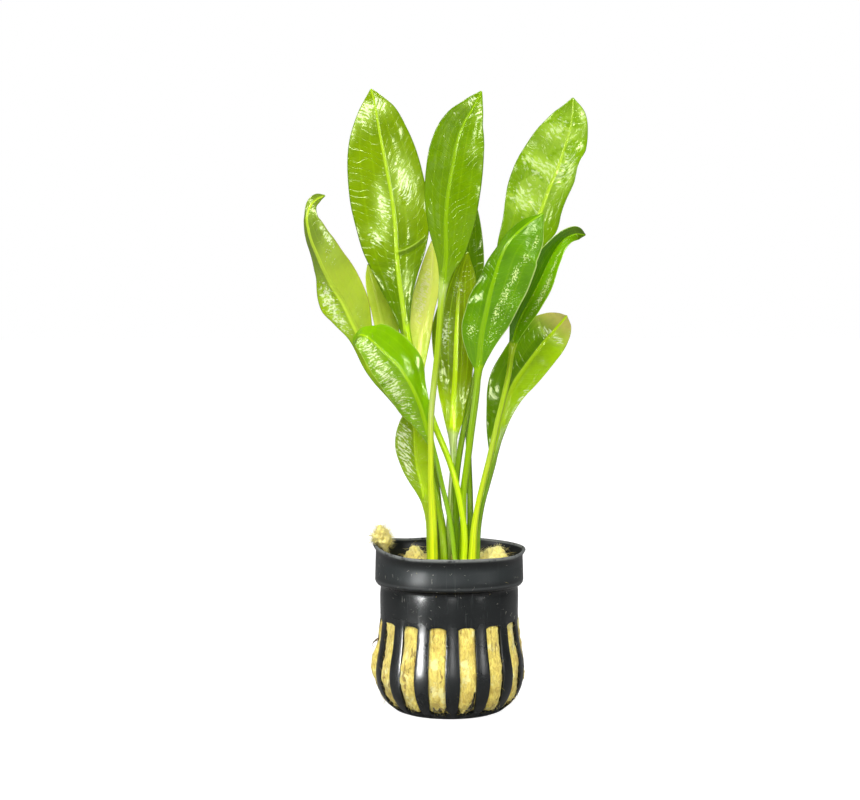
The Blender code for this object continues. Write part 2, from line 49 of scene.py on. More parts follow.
MM = 0.001
WALL = 1.0
POT_WALL = (               # outer radius and height, from the lip down to the foot
    (24.55, 53.0), (24.9, 52.75), (25.0, 52.3), (24.6, 51.6), (24.05, 50.9), (24.15, 48.0),
    (24.25, 45.0), (24.3, 43.0), (24.1, 42.3), (23.6, 41.7), (22.9, 41.35), (22.5, 41.0),
    (22.5, 40.4), (22.58, 39.6), (22.68, 38.0),
    (22.65, 35.0), (22.6, 32.5), (22.6, 30.4), (22.85, 27.5), (23.2, 24.0), (23.6, 21.4),
    (24.15, 18.5), (24.55, 16.0), (24.75, 13.5), (24.55, 11.0), (24.0, 8.5), (23.15, 6.4),
    (22.0, 4.5), (20.75, 2.9), (19.2, 1.6), (17.9, 0.6), (16.3, 0.0), (13.5, 0.0), (12.0, 0.0),
    (9.0, 0.0), (5.0, 0.0), (0.0, 0.0),
)
SLOTS = 15
SLOT_FOOT = 1.6
SLOT_TOP = 30.4
SLOT_HALF_WIDTH = 2.8
FIRST_SLOT = 14.0          # degrees to the right of the front
PITCH_COLUMNS = 12         # columns of the wall for each slot and rib
SLOT_COLUMNS = 3           # of them on each side of a slot's middle
BELLY_FROM = 13            # outside this radius the pot's columns are shaped
CORNER = 0.7               # how far the slots' corners are rounded
RIB_SWELL = 0.16           # how far the middle of a rib stands out from its edges
PITCH = 360 / SLOTS
RIM_LIFT = 0.7             # how far the warped rim stands above its plain height,
LEFT_LIFT = 1.3            # how much further at its left end,
RIGHT_SINK = 0.3           # and how much less at its right end
FRONT_SINK = 1.1           # and at the front
DRAINS = 5                 # slots through the floor, 3 mm by 6 mm
DRAIN_HALF_ANGLE = 16.4
DRAIN_RADII = (9, 12)
NARROWEST = 19.0           # slots get no wider, in degrees, than at this radius
EDGE_WIDTH = 0.22


def ramp(value, low, high):
    share = min(max((value - low) / (high - low), 0), 1)
    return share * share * (3 - 2 * share)


def bearing_of(point):
    """Degrees round the pot from the first slot, growing to the right seen from the front."""
    return (math.degrees(math.atan2(point.y, point.x)) + 90 - FIRST_SLOT) % 360


def turned_to(point, degrees):
    """The point at the same radius and height, that many degrees from the first slot."""
    radius, angle = math.hypot(point.x, point.y), math.radians(degrees + FIRST_SLOT - 90)
    return Vector((radius * math.cos(angle), radius * math.sin(angle), point.z))


def rim_height(x, y, z):
    """The warped rim: highest at the left end, lowest in front, level under the collar."""
    lift = RIM_LIFT + LEFT_LIFT * ramp(-x, 12, 25) - RIGHT_SINK * ramp(x, 5, 25)
    lift -= FRONT_SINK * ramp(-y, 2, 16)
    return z + lift * ramp(z, 41, 53)


def add_node(tree, kind, inputs=None, **settings):
    made = tree.nodes.new(kind)
    for key, value in settings.items():
        setattr(made, key, value)
    for key, value in (inputs or {}).items():
        if isinstance(value, bpy.types.NodeSocket):
            tree.links.new(value, made.inputs[key])
        else:
            made.inputs[key].default_value = value
    return made


def mixed(tree, share, low, high, way="MIX"):
    """The colour between low and high; each may be a socket or a colour."""
    made = add_node(tree, "ShaderNodeMix", data_type="RGBA", blend_type=way)
    for index, value in ((0, share), (6, low), (7, high)):
        if isinstance(value, bpy.types.NodeSocket):
            tree.links.new(value, made.inputs[index])
        else:
            made.inputs[index].default_value = value if index == 0 else (*value, 1)
    return made.outputs[2]


def maths(tree, operation, first, second=0.0, third=0.0):
    made = add_node(tree, "ShaderNodeMath", {0: first, 1: second, 2: third}, operation=operation)
    return made.outputs[0]


def mapped(tree, value, low, high, to_low=0.0, to_high=1.0, smooth=True):
    made = add_node(tree, "ShaderNodeMapRange", {0: value, 1: low, 2: high, 3: to_low, 4: to_high},
                    interpolation_type="SMOOTHSTEP" if smooth else "LINEAR")
    return made.outputs[0]


def noise_of(tree, vector, scale, detail=3.0, roughness=0.55):
    made = add_node(tree, "ShaderNodeTexNoise", {"Vector": vector, "Scale": scale,
                                                 "Detail": detail, "Roughness": roughness})
    return made.outputs[0]


def new_material(name, **sockets):
    """A material with its tree and shader; the sockets' names have _ for a space."""
    made = bpy.data.materials.new(name)
    made.use_nodes = True
    shader = made.node_tree.nodes["Principled BSDF"]
    for key, value in sockets.items():
        shader.inputs[key.replace("_", " ")].default_value = value
    return made, made.node_tree, shader


def fit_piece(name, bm, finish, nodes):
    """Makes a finished piece at the origin from a mesh in millimetres and fixes it in place."""
    bmesh.ops.scale(bm, vec=(MM, MM, MM), verts=bm.verts)
    mesh = bpy.data.meshes.new(name)
    bm.to_mesh(mesh)
    bm.free()
    mesh.shade_smooth()
    mesh.materials.append(finish)
    made = bpy.data.objects.new(name, mesh)
    bpy.context.scene.collection.objects.link(made)
    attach(made, "root")
    if nodes:
        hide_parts(*nodes)
    return made


pot_black, tree, shader = new_material("black pot plastic", IOR=1.46, Specular_IOR_Level=0.45)
place = add_node(tree, "ShaderNodeTexCoord").outputs["Object"]
clouds = noise_of(tree, place, 90, 4)
grain = noise_of(tree, place, 2600, 2)
level = add_node(tree, "ShaderNodeAttribute", attribute_name="level").outputs[2]
flat_place = add_node(tree, "ShaderNodeVectorMath", {0: place, 1: (1, 1, 0)}, operation="MULTIPLY")
from_axis = add_node(tree, "ShaderNodeVectorMath", {0: flat_place.outputs[0]},
                  operation="LENGTH").outputs[1]
drag = add_node(tree, "ShaderNodeMapping", {"Vector": place, "Scale": (1, 1, 0.06)}).outputs[0]
scuffs = mapped(tree, noise_of(tree, drag, 900, 5, 0.7), 0.56, 0.70)
dust = mapped(tree, noise_of(tree, place, 1700, 4, 0.7), 0.64, 0.72)
nicks = noise_of(tree, place, 420, 3)
# The lip's top is painted pale wherever the nick noise allows: partly wear, partly a painted
# highlight along the lip.
wear_and_highlight = maths(tree, "MULTIPLY", mapped(tree, level, 51.6, 52.5), mapped(tree, nicks, 0.32, 0.46))
plastic = mixed(tree, clouds, (0.0055, 0.0068, 0.0070), (0.0100, 0.0120, 0.0120))
# A lighter band is painted on the outside of the collar: painted sheen.
collar = maths(tree, "MULTIPLY", mapped(tree, level, 42.5, 46.0), mapped(tree, level, 50.9, 48.5))
collar = maths(tree, "MULTIPLY", collar, mapped(tree, from_axis, 0.0234, 0.0238, 0, 0.6))
plastic = mixed(tree, collar, plastic, (0.030, 0.036, 0.037))
# A pale line is painted along the collar's lower edge: painted highlight.
ledge_highlight = maths(tree, "MULTIPLY", mapped(tree, level, 42.3, 42.8), mapped(tree, level, 43.6, 43.1))
plastic = mixed(tree, maths(tree, "MULTIPLY", ledge_highlight, 0.8), plastic, (0.050, 0.055, 0.055))
# The groove under the collar is painted nearly black: painted shade.
groove_shade = maths(tree, "MULTIPLY", mapped(tree, level, 40.2, 40.9), mapped(tree, level, 42.4, 42.1))
plastic = mixed(tree, groove_shade, plastic, (0.001, 0.001, 0.001))
plastic = mixed(tree, maths(tree, "MULTIPLY", scuffs, 0.45), plastic, (0.045, 0.049, 0.049))
plastic = mixed(tree, maths(tree, "MULTIPLY", dust, 0.35), plastic, (0.14, 0.14, 0.13))
plastic = mixed(tree, maths(tree, "MULTIPLY", wear_and_highlight, 0.8), plastic, (0.20, 0.21, 0.20))
tree.links.new(plastic, shader.inputs["Base Color"])
satin = mapped(tree, clouds, 0.3, 0.7, 0.26, 0.33)
matt = maths(tree, "MULTIPLY_ADD", mapped(tree, level, 29.0, 33.0), -0.05, satin)
matt = maths(tree, "MULTIPLY_ADD", mapped(tree, level, 42.0, 44.0), 0.12, matt)
tree.links.new(matt, shader.inputs["Roughness"])
bump = add_node(tree, "ShaderNodeBump", {"Height": grain, "Distance": 0.00003, "Strength": 0.5})
tree.links.new(bump.outputs[0], shader.inputs["Normal"])

bm = bmesh.new()
wall_line = [bm.verts.new((radius, 0, height)) for radius, height in POT_WALL]
wall_edges = [bm.edges.new(pair) for pair in zip(wall_line, wall_line[1:])]
columns = SLOTS * PITCH_COLUMNS
bmesh.ops.spin(bm, geom=wall_line + wall_edges, cent=(0, 0, 0), axis=(0, 0, 1), steps=columns,
               angle=math.tau, use_merge=True)
bmesh.ops.remove_doubles(bm, verts=bm.verts, dist=0.001)
bmesh.ops.rotate(bm, cent=(0, 0, 0), verts=bm.verts,
                 matrix=Matrix.Rotation(math.radians(FIRST_SLOT - 90), 3, "Z"))


def in_opening(face):
    """Whether the face lies in a slot of the wall or in a drain of the floor."""
    middle = face.calc_center_median()
    off = bearing_of(middle) / PITCH
    off = abs(off - round(off)) * PITCH_COLUMNS
    drain = (bearing_of(middle) + FIRST_SLOT) / (360 / DRAINS)
    in_drain = abs(drain - round(drain)) * 360 / DRAINS < DRAIN_HALF_ANGLE
    out = math.hypot(middle.x, middle.y)
    if middle.z < 0.1:
        return in_drain and DRAIN_RADII[0] < out < DRAIN_RADII[1]
    return off < SLOT_COLUMNS and SLOT_FOOT < middle.z < SLOT_TOP


open_faces = [face for face in bm.faces if in_opening(face)]
bmesh.ops.delete(bm, geom=open_faces, context="FACES")
plain_height = bm.verts.layers.float.new("level")
for point in bm.verts:
    point[plain_height] = point.co.z
    radius = math.hypot(point.co.x, point.co.y)
    if radius < BELLY_FROM:
        continue
    bearing = bearing_of(point.co)
    slot_number = round(bearing / PITCH)
    column = round((bearing / PITCH - slot_number) * PITCH_COLUMNS)
    half_slot = math.degrees(math.asin(SLOT_HALF_WIDTH / max(radius, NARROWEST)))
    if abs(column) <= SLOT_COLUMNS:
        off = half_slot * abs(column) / SLOT_COLUMNS
        corner = CORNER * (abs(column) / SLOT_COLUMNS) ** 3
        if abs(point.co.z - SLOT_TOP) < 0.01:
            point.co.z -= corner
        elif abs(point.co.z - SLOT_FOOT) < 0.01:
            point.co.z += corner
    else:
        beside = (abs(column) - SLOT_COLUMNS) / (PITCH_COLUMNS / 2 - SLOT_COLUMNS)
        off = half_slot + (PITCH / 2 - half_slot) * beside
        swell = RIB_SWELL * (1 - (1 - beside) ** 2) * ramp(point.co.z, 2, 7)
        swell *= 1 - ramp(point.co.z, 27, 31)
        point.co.x *= 1 + swell / radius
        point.co.y *= 1 + swell / radius
    point.co = turned_to(point.co, slot_number * PITCH + math.copysign(off, column))
    panel = 0.06 * math.cos(math.radians(bearing * SLOTS)) * ramp(point.co.z, 30, 33)
    panel *= 1 - ramp(point.co.z, 38, 40)
    point.co.x *= 1 - panel / radius
    point.co.y *= 1 - panel / radius
    point.co.z = rim_height(point.co.x, point.co.y, point.co.z)
bmesh.ops.recalc_face_normals(bm, faces=bm.faces)
pot = fit_piece("net_pot_shell", bm, pot_black, ["net_pot"])
skin = pot.modifiers.new("wall", "SOLIDIFY")
skin.thickness = WALL * MM
skin.offset = -1
skin.use_even_offset = True
soft = pot.modifiers.new("soft edges", "BEVEL")
soft.width = EDGE_WIDTH * MM
soft.segments = 2
soft.limit_method = "ANGLE"
soft.angle_limit = math.radians(50)


# Rock wool ---------------------------------------------------------------------------------
# Yellow mineral fibre pressed into the pot round the roots. It fills every slot nearly flush,
# is torn open at the top left, and is frayed where it was cut, at the top and the slots' feet.

FIBRE_RINGS = 5
TOP_HAIRS = 3200
HAIRS_PER_SLOT = 150
TOP_BEGINS = 43.5          # height over which the torn top is lumpy
TORN_FOOT = 6.0            # how much higher the wool ends at the right of the first slot


def pot_radius(z):
    """Outer radius of the pot's wall at that height."""
    for (above, top), (below, foot) in zip(POT_WALL, POT_WALL[1:]):
        if foot <= z <= top and top > foot:
            return below + (above - below) * (z - foot) / (top - foot)
    return POT_WALL[0][0]


def soften(bm, turns, above=-1):
    """Relaxes the points above that height."""
    points = [point for point in bm.verts if point.co.z > above]
    for turn in range(turns):
        bmesh.ops.smooth_vert(bm, verts=points, factor=0.5, use_axis_x=True, use_axis_y=True,
                              use_axis_z=True)


def refined_copy(node, cuts, relax):
    """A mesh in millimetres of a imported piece, merged, divided and softened."""
    bm = bmesh.new()
    bm.from_mesh(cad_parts[node].data)
    bmesh.ops.scale(bm, vec=(1 / MM, 1 / MM, 1 / MM), verts=bm.verts)
    bmesh.ops.remove_doubles(bm, verts=bm.verts, dist=0.01)
    bmesh.ops.subdivide_edges(bm, edges=bm.edges, cuts=cuts, use_grid_fill=True)
    soften(bm, relax)
    bm.normal_update()
    return bm


def lumps(point, sizes):
    """Sum of noises at the point; sizes holds (millimetres across, height) pairs."""
    return sum(height * noise.noise(point / across) for across, height in sizes)


def fibre_template():
    bm = bmesh.new()
    bmesh.ops.create_cone(bm, cap_ends=True, segments=3, radius1=1, radius2=0.5, depth=1)
    upright = [edge for edge in bm.edges if abs(edge.verts[0].co.z - edge.verts[1].co.z) > 0.5]
    bmesh.ops.subdivide_edges(bm, edges=upright, cuts=FIBRE_RINGS - 2, use_grid_fill=True)
    bmesh.ops.translate(bm, verts=bm.verts, vec=(0, 0, 0.5))
    made = bpy.data.meshes.new("fibre")
    bm.to_mesh(made)
    bm.free()
    return made


fibre_mesh = fibre_template()


def add_fibre(bm, root, way, bend, length, thickness):
    """One thin hair from root along way, its end bent over towards bend."""
    before = len(bm.verts)
    bm.from_mesh(fibre_mesh)
    bm.verts.ensure_lookup_table()
    side = way.orthogonal().normalized()
    across = way.cross(side).normalized()
    for point in bm.verts[before:]:
        x, y, along = point.co
        point.co = (root + way * length * along + bend * length * along * along
                    + (side * x + across * y) * thickness)


wool_yellow, tree, shader = new_material("rock wool", Roughness=0.95, Sheen_Weight=0.2,
                                         Sheen_Roughness=0.5, Specular_IOR_Level=0.2,
                                         Subsurface_Weight=0.25, Subsurface_Scale=0.0015)
shader.inputs["Subsurface Radius"].default_value = (1.0, 0.85, 0.3)
place = add_node(tree, "ShaderNodeTexCoord").outputs["Object"]
level = add_node(tree, "ShaderNodeSeparateXYZ", {0: place}).outputs[2]
wander = add_node(tree, "ShaderNodeTexNoise", {"Vector": place, "Scale": 190.0, "Detail": 2.0})
shift = add_node(tree, "ShaderNodeVectorMath", {0: wander.outputs[1], "Scale": 0.0035},
                 operation="SCALE")
warped = add_node(tree, "ShaderNodeVectorMath", {0: place, 1: shift.outputs[0]}, operation="ADD")
strand = add_node(tree, "ShaderNodeMapping", {"Vector": warped.outputs[0], "Scale": (1, 1, 0.13),
                                              "Rotation": (0.12, 0.2, 0)})
strands = noise_of(tree, strand.outputs[0], 2300, 4, 0.65)
cords = noise_of(tree, strand.outputs[0], 620, 4, 0.6)
fuzz = noise_of(tree, place, 2600, 3, 0.7)
patches = noise_of(tree, place, 230, 4, 0.6)
wool = mixed(tree, mapped(tree, strands, 0.3, 0.65), (0.62, 0.46, 0.08), (0.95, 0.80, 0.20))
wool = mixed(tree, mapped(tree, patches, 0.51, 0.64, 0, 0.6), wool, (0.56, 0.38, 0.07))
wool = mixed(tree, mapped(tree, patches, 0.45, 0.34, 0, 0.7), wool, (0.98, 0.92, 0.42))
wool = mixed(tree, mapped(tree, cords, 0.58, 0.66, 0, 0.8), wool, (0.28, 0.16, 0.03))
# The wool above 47 mm, its top and the tuft, is painted paler and yellower: painted light.
wool = mixed(tree, mapped(tree, level, 0.047, 0.053, 0, 0.6), wool, (1.0, 0.92, 0.36))
# Where the wool lies pulled back from the slots it is painted nearly black: painted shade in the
# hollows.
hollow_shade = add_node(tree, "ShaderNodeAttribute", attribute_name="hollow").outputs[2]
wool = mixed(tree, mapped(tree, hollow_shade, 1.5, 3.5, 0, 0.97), wool, (0.02, 0.015, 0.005))
tree.links.new(wool, shader.inputs["Base Color"])
bump = add_node(tree, "ShaderNodeBump", {"Height": cords, "Distance": 0.0006, "Strength": 0.6})
bump = add_node(tree, "ShaderNodeBump", {"Height": strands, "Distance": 0.00022, "Strength": 0.8,
                                         "Normal": bump.outputs[0]})
bump = add_node(tree, "ShaderNodeBump", {"Height": fuzz, "Distance": 0.00012, "Strength": 0.7,
                                         "Normal": bump.outputs[0]})
tree.links.new(bump.outputs[0], shader.inputs["Normal"])

plug = refined_copy("rock_wool_plug", 4, 2)
soften(plug, 7, above=43)
plug.normal_update()
hollow = plug.verts.layers.float.new("hollow")
for point in plug.verts:
    radius = math.hypot(point.co.x, point.co.y)
    bearing = bearing_of(point.co) / PITCH
    slot_number = round(bearing)
    off = abs(bearing - slot_number) * PITCH
    z = point.co.z
    edge = math.degrees(math.asin(SLOT_HALF_WIDTH / max(radius, NARROWEST)))
    ragged = 3.4 + 3.4 * noise.noise(Vector((bearing * 9, slot_number * 3.7, 0.3)))
    if slot_number == 0:
        ragged += TORN_FOOT * ramp(bearing * PITCH, 0.5, 4.5)
    if radius > 17 and SLOT_FOOT + 0.6 < z < SLOT_TOP and off < edge - 0.4:
        gap = 0.25 + 0.8 * (off / edge) ** 6 + 5.0 * ramp(ragged - z, -0.3, 0.9)
        gap -= 0.8 * noise.noise(point.co / 5)
        point[hollow] = gap
        full = max(radius, pot_radius(z) - gap)
        point.co.x *= full / radius
        point.co.y *= full / radius
        point.co += point.normal * lumps(point.co, ((1.6, 0.3), (0.7, 0.2)))
    elif z > TOP_BEGINS:
        point.co += point.normal * lumps(point.co, ((3.5, 1.3), (1.4, 1.2), (0.6, 0.6)))
    else:
        point.co += point.normal * lumps(point.co, ((1.5, 0.08),))
plug_surface = BVHTree.FromBMesh(plug)
dice = random.Random(7)
for number in range(TOP_HAIRS):
    angle, out = dice.uniform(0, math.tau), 23 * math.sqrt(dice.uniform(0.2, 0.95))
    top = Vector((out * math.cos(angle), out * math.sin(angle), 60))
    root = plug_surface.ray_cast(top, Vector((0, 0, -1)))[0]
    way = Vector((dice.gauss(0, 0.9), dice.gauss(0, 0.9), dice.uniform(0.0, 1.0))).normalized()
    bend = Vector((dice.gauss(0, 0.5), dice.gauss(0, 0.5), dice.gauss(-0.3, 0.3)))
    length, thickness = dice.uniform(0.8, 3.2), dice.uniform(0.025, 0.055)
    if root and root.z > 40:
        add_fibre(plug, root, way, bend, length, thickness)
for number in range(SLOTS * HAIRS_PER_SLOT):
    kind = dice.random()
    off = dice.uniform(-6.0, 6.0) if kind < 0.7 else dice.choice((-1, 1)) * dice.uniform(5.2, 6.6)
    z = dice.uniform(2.6, 6.0) if kind < 0.25 else dice.uniform(4, 30)
    outside = turned_to(Vector((40, 0, z)), (number % SLOTS) * PITCH + off)
    inward = Vector((-outside.x, -outside.y, 0)).normalized()
    root = plug_surface.ray_cast(outside, inward)[0]
    up = Vector((dice.gauss(0, 0.45), dice.gauss(0, 0.45), dice.choice((-1, 1))))
    if kind >= 0.7:
        sideways = inward.cross(Vector((0, 0, 1))) * math.copysign(dice.uniform(0.4, 1.2), off)
        up = up * 0.7 - sideways
    way = (up - inward * (0.5 if kind < 0.25 else 0.15)).normalized()
    bend = Vector((dice.gauss(0, 0.3), dice.gauss(0, 0.3), 0)) + inward * dice.uniform(0, 0.2)
    length, thickness = dice.uniform(0.8, 2.4), dice.uniform(0.025, 0.045)
    if root:
        add_fibre(plug, root, way, bend, length, thickness)
fit_piece("wool_plug", plug, wool_yellow, ["rock_wool_plug"])


# Torn tuft ---------------------------------------------------------------------------------
# A lump of the same wool that was pulled over the lip at the left when the plant was potted.
# It is only caught there, with loose hairs all round and a thread that trails into the pot.

TUFT_MIDDLE = -22.0
TUFT_SQUEEZE = 0.8         # how much of its modelled width is left
TUFT_HAIRS = 1400
THREAD_HAIRS = 60
tuft = refined_copy("rock_wool_tuft", 5, 8)
for point in tuft.verts:
    torn_at = 56.3 - 1.4 * ramp(point.co.x, -24, -19) + noise.noise(point.co / 1.5)
    if point.co.z < torn_at:
        point.co.z = torn_at + (point.co.z - torn_at) * 0.3
    point.co += point.normal * lumps(point.co, ((3.0, 1.5), (1.3, 0.9), (0.6, 0.5)))
    point.co.x = TUFT_MIDDLE + (point.co.x - TUFT_MIDDLE) * TUFT_SQUEEZE
    point.co.z -= 0.8 * ramp(point.co.z, 55, 61)
tuft_surface = BVHTree.FromBMesh(tuft)
tuft_middle = sum((point.co for point in tuft.verts), Vector()) / len(tuft.verts)
for number in range(TUFT_HAIRS):
    way = Vector((dice.gauss(0, 1), dice.gauss(0, 1), dice.gauss(0, 1))).normalized()
    root = tuft_surface.ray_cast(tuft_middle + way * 12, -way)[0]
    bend = Vector((dice.gauss(0, 0.5), dice.gauss(0, 0.5), dice.gauss(0, 0.5)))
    if root and root.z > 49:
        lean = Vector((dice.gauss(0, 0.9), dice.gauss(0, 0.9), dice.gauss(0, 0.9)))
        add_fibre(tuft, root - way * 0.1, (way + lean).normalized(), bend,
                  dice.uniform(0.5, 1.9), dice.uniform(0.022, 0.05))
for number in range(THREAD_HAIRS):
    root = Vector((dice.gauss(-21.9, 0.3), dice.gauss(-2.4, 0.3), dice.uniform(55.5, 56.5)))
    way = Vector((dice.gauss(0.38, 0.08), dice.gauss(-0.1, 0.08), -1)).normalized()
    bend = Vector((dice.gauss(0, 0.06), dice.gauss(0, 0.06), 0))
    add_fibre(tuft, root, way, bend, dice.uniform(2.5, 4.6), dice.uniform(0.05, 0.1))
fit_piece("wool_tuft", tuft, wool_yellow, ["rock_wool_tuft"])


# Loose fibres ------------------------------------------------------------------------------
# Single hairs of the wool that have dried onto the outside of the pot.

STRAY_HAIRS = 170
stray_pale, tree, shader = new_material("stray fibres", Roughness=0.7)
place = add_node(tree, "ShaderNodeTexCoord").outputs["Object"]
tint = mixed(tree, noise_of(tree, place, 300), (0.45, 0.44, 0.34), (0.85, 0.84, 0.72))
tree.links.new(tint, shader.inputs["Base Color"])
stray = bmesh.new()
for number in range(STRAY_HAIRS):
    z = dice.uniform(31, 51)
    outside = turned_to(Vector((pot_radius(z) + 0.12, 0, z)), dice.uniform(0, 360))
    outward = Vector((outside.x, outside.y, 0)).normalized()
    along = outward.cross(Vector((0, 0, 1)))
    way = (along * dice.gauss(0, 1) + Vector((0, 0, dice.gauss(0, 1)))).normalized()
    bend = (along * dice.gauss(0, 0.4) + Vector((0, 0, dice.gauss(0, 0.4))))
    outside.z = rim_height(outside.x, outside.y, outside.z)
    add_fibre(stray, outside, way, bend, dice.uniform(0.3, 1.5), dice.uniform(0.012, 0.032))
fit_piece("stray_fibres", stray, stray_pale, [])


# Root end ----------------------------------------------------------------------------------
# The dark tip of one of the plant's roots, which has found its way out through a slot at the
# left.

root_brown, tree, shader = new_material("root", Roughness=0.6)
place = add_node(tree, "ShaderNodeTexCoord").outputs["Object"]
bark = mixed(tree, noise_of(tree, place, 900, 4), (0.03, 0.02, 0.01), (0.16, 0.10, 0.04))
tree.links.new(bark, shader.inputs["Base Color"])
root_tip = bmesh.new()
bmesh.ops.create_cone(root_tip, cap_ends=True, segments=10, radius1=0.5, radius2=0.2, depth=1)
upright = [edge for edge in root_tip.edges if abs(edge.verts[0].co.z - edge.verts[1].co.z) > 0.5]
bmesh.ops.subdivide_edges(root_tip, edges=upright, cuts=12, use_grid_fill=True)
for point in root_tip.verts:
    along = point.co.z + 0.5
    knot = 1 + 0.25 * noise.noise(point.co * 4)
    point.co = Vector((-21.5 - 3.6 * math.sin(2.0 * along), -2.2 - 1.2 * along,
                       24.5 - 3.4 * along + point.co.x * knot)) + Vector((0, point.co.y * knot, 0))
bmesh.ops.recalc_face_normals(root_tip, faces=root_tip.faces)
fit_piece("root_end", root_tip, root_brown, [])


# Crown -------------------------------------------------------------------------------------
# The plant's short rootstock, pale and moist, set in the wool. The stalks stand just clear of
# its top.

crown_green, tree, shader = new_material("crown", Roughness=0.5, Subsurface_Weight=0.15,
                                         Subsurface_Scale=0.002)
place = add_node(tree, "ShaderNodeTexCoord").outputs["Object"]
scars = noise_of(tree, place, 420, 4)
flesh = mixed(tree, mapped(tree, scars, 0.35, 0.65), (0.30, 0.30, 0.06), (0.52, 0.62, 0.14))
tree.links.new(flesh, shader.inputs["Base Color"])
bump = add_node(tree, "ShaderNodeBump", {"Height": scars, "Distance": 0.0004, "Strength": 0.8})
tree.links.new(bump.outputs[0], shader.inputs["Normal"])
crown = refined_copy("crown", 5, 1)
for point in crown.verts:
    point.co += point.normal * lumps(point.co, ((2.0, 0.25), (0.8, 0.12)))
fit_piece("rootstock", crown, crown_green, ["crown"])


# Leaves ------------------------------------------------------------------------------------
# Each leaf is one growth: a juicy stalk that opens into a thin wet blade, with a raised
# midrib below, two pairs of side veins along it and a ladder of cross veins between them,
# where the blade swells like a quilt. Sizes follow the midrib, in millimetres.

BLADE_THICKNESS = 0.45
STALK_FOOT = 46.8          # height at which every stalk begins
LEAST_HALF_WIDTH = 0.25
BLADE_OPENS = 2.6          # half width, in rib radii, at which the stalk has become a blade
KEEL = 0.9                 # how far the midrib stands out below, in rib radii
STALK_STEP = 3.0
BLADE_STEP = 0.5
POINT_GAP = 0.45           # between points across the blade
SIDE_VEINS = (0.0, 0.33, 0.66, 1.0)
QUILT_SHARES = (1.0, 0.75, 0.5)
WRINKLE = 0.26             # height of the finest wrinkles where the blade is wet
MEASURES = ("across", "out", "up", "share", "under", "ladder", "wet", "lined", "opened", "rib",
            "crease")


def knot_value(knots, share):
    """A number, or the value between (share, value) knots, at that share of the blade."""
    if not isinstance(knots, tuple):
        return knots
    if share <= knots[0][0]:
        return knots[0][1]
    for (start, low), (end, high) in zip(knots, knots[1:]):
        if share <= end:
            return low + (high - low) * ramp(share, start, end)
    return knots[-1][1]


def smooth_route(rows):
    """Lengths along the rows, and the smoothly blended row at a length."""
    lengths = [0.0]
    for first, second in zip(rows, rows[1:]):
        lengths.append(lengths[-1] + (Vector(second[:3]) - Vector(first[:3])).length)

    def slope(index, column):
        before, after = max(index - 1, 0), min(index + 1, len(rows) - 1)
        return (rows[after][column] - rows[before][column]) / (lengths[after] - lengths[before])

    def row_at(length):
        index = 0
        while index < len(rows) - 2 and length > lengths[index + 1]:
            index += 1
        span = lengths[index + 1] - lengths[index]
        t = (length - lengths[index]) / span
        blended = []
        for column in range(len(rows[0])):
            start, end = rows[index][column], rows[index + 1][column]
            rise, fall = slope(index, column) * span, slope(index + 1, column) * span
            blended.append((2 * t ** 3 - 3 * t ** 2 + 1) * start + (t ** 3 - 2 * t ** 2 + t) * rise
                           + (3 * t ** 2 - 2 * t ** 3) * end + (t ** 3 - t ** 2) * fall)
        return blended

    return lengths, row_at


def folded(distance, fold, curl, width):
    """Place and lean of a point that far out along a half blade that curls evenly."""
    start = math.radians(fold - curl / 2)
    turn = math.radians(curl) / max(width, 0.1)
    if abs(turn) < 0.001:
        return distance * math.cos(start), distance * math.sin(start), start
    end = start + turn * distance
    return (math.sin(end) - math.sin(start)) / turn, (math.cos(start) - math.cos(end)) / turn, end


def quilted(part, ladder, side, seed):
    """Height of the swelling between the veins, and of the hollows along them."""
    strip = 2 if part >= SIDE_VEINS[2] else int(part >= SIDE_VEINS[1])
    low, high = SIDE_VEINS[strip], SIDE_VEINS[strip + 1]
    window = math.sin(math.pi * min(max((part - low) / (high - low), 0), 1))
    ladder += 0.37 * strip * side
    cell = Vector((math.floor(ladder) * 1.7 + 0.5, strip * 2.3 + 0.4, 3.3 * side + seed))
    own = 0.65 + 0.9 * noise.noise(cell)
    return own * QUILT_SHARES[strip] * window * (abs(math.sin(math.pi * ladder)) ** 0.8 - 0.4)


def zone_sum(zones, share, across):
    """How far a point lies inside soft oval zones: place along, place across, reaches, strength."""
    return min(1, sum(strength * math.exp(-((share - up_at) / up_reach) ** 2
                                          - ((across - at) / reach) ** 2)
                      for up_at, at, up_reach, reach, strength in zones))


def crease_height(creases, side, out, up):
    """Ridges that leave the midrib: place up, side, length out, rise, height, half width."""
    total = 0.0
    for foot, on_side, reach, rise, height, width in creases:
        if on_side == side and out < reach + 1:
            line = foot + rise * (out / reach) ** 2
            total += height * math.exp(-((up - line) / width) ** 2) * ramp(reach + 1 - out, 0, 1.6)
    return total


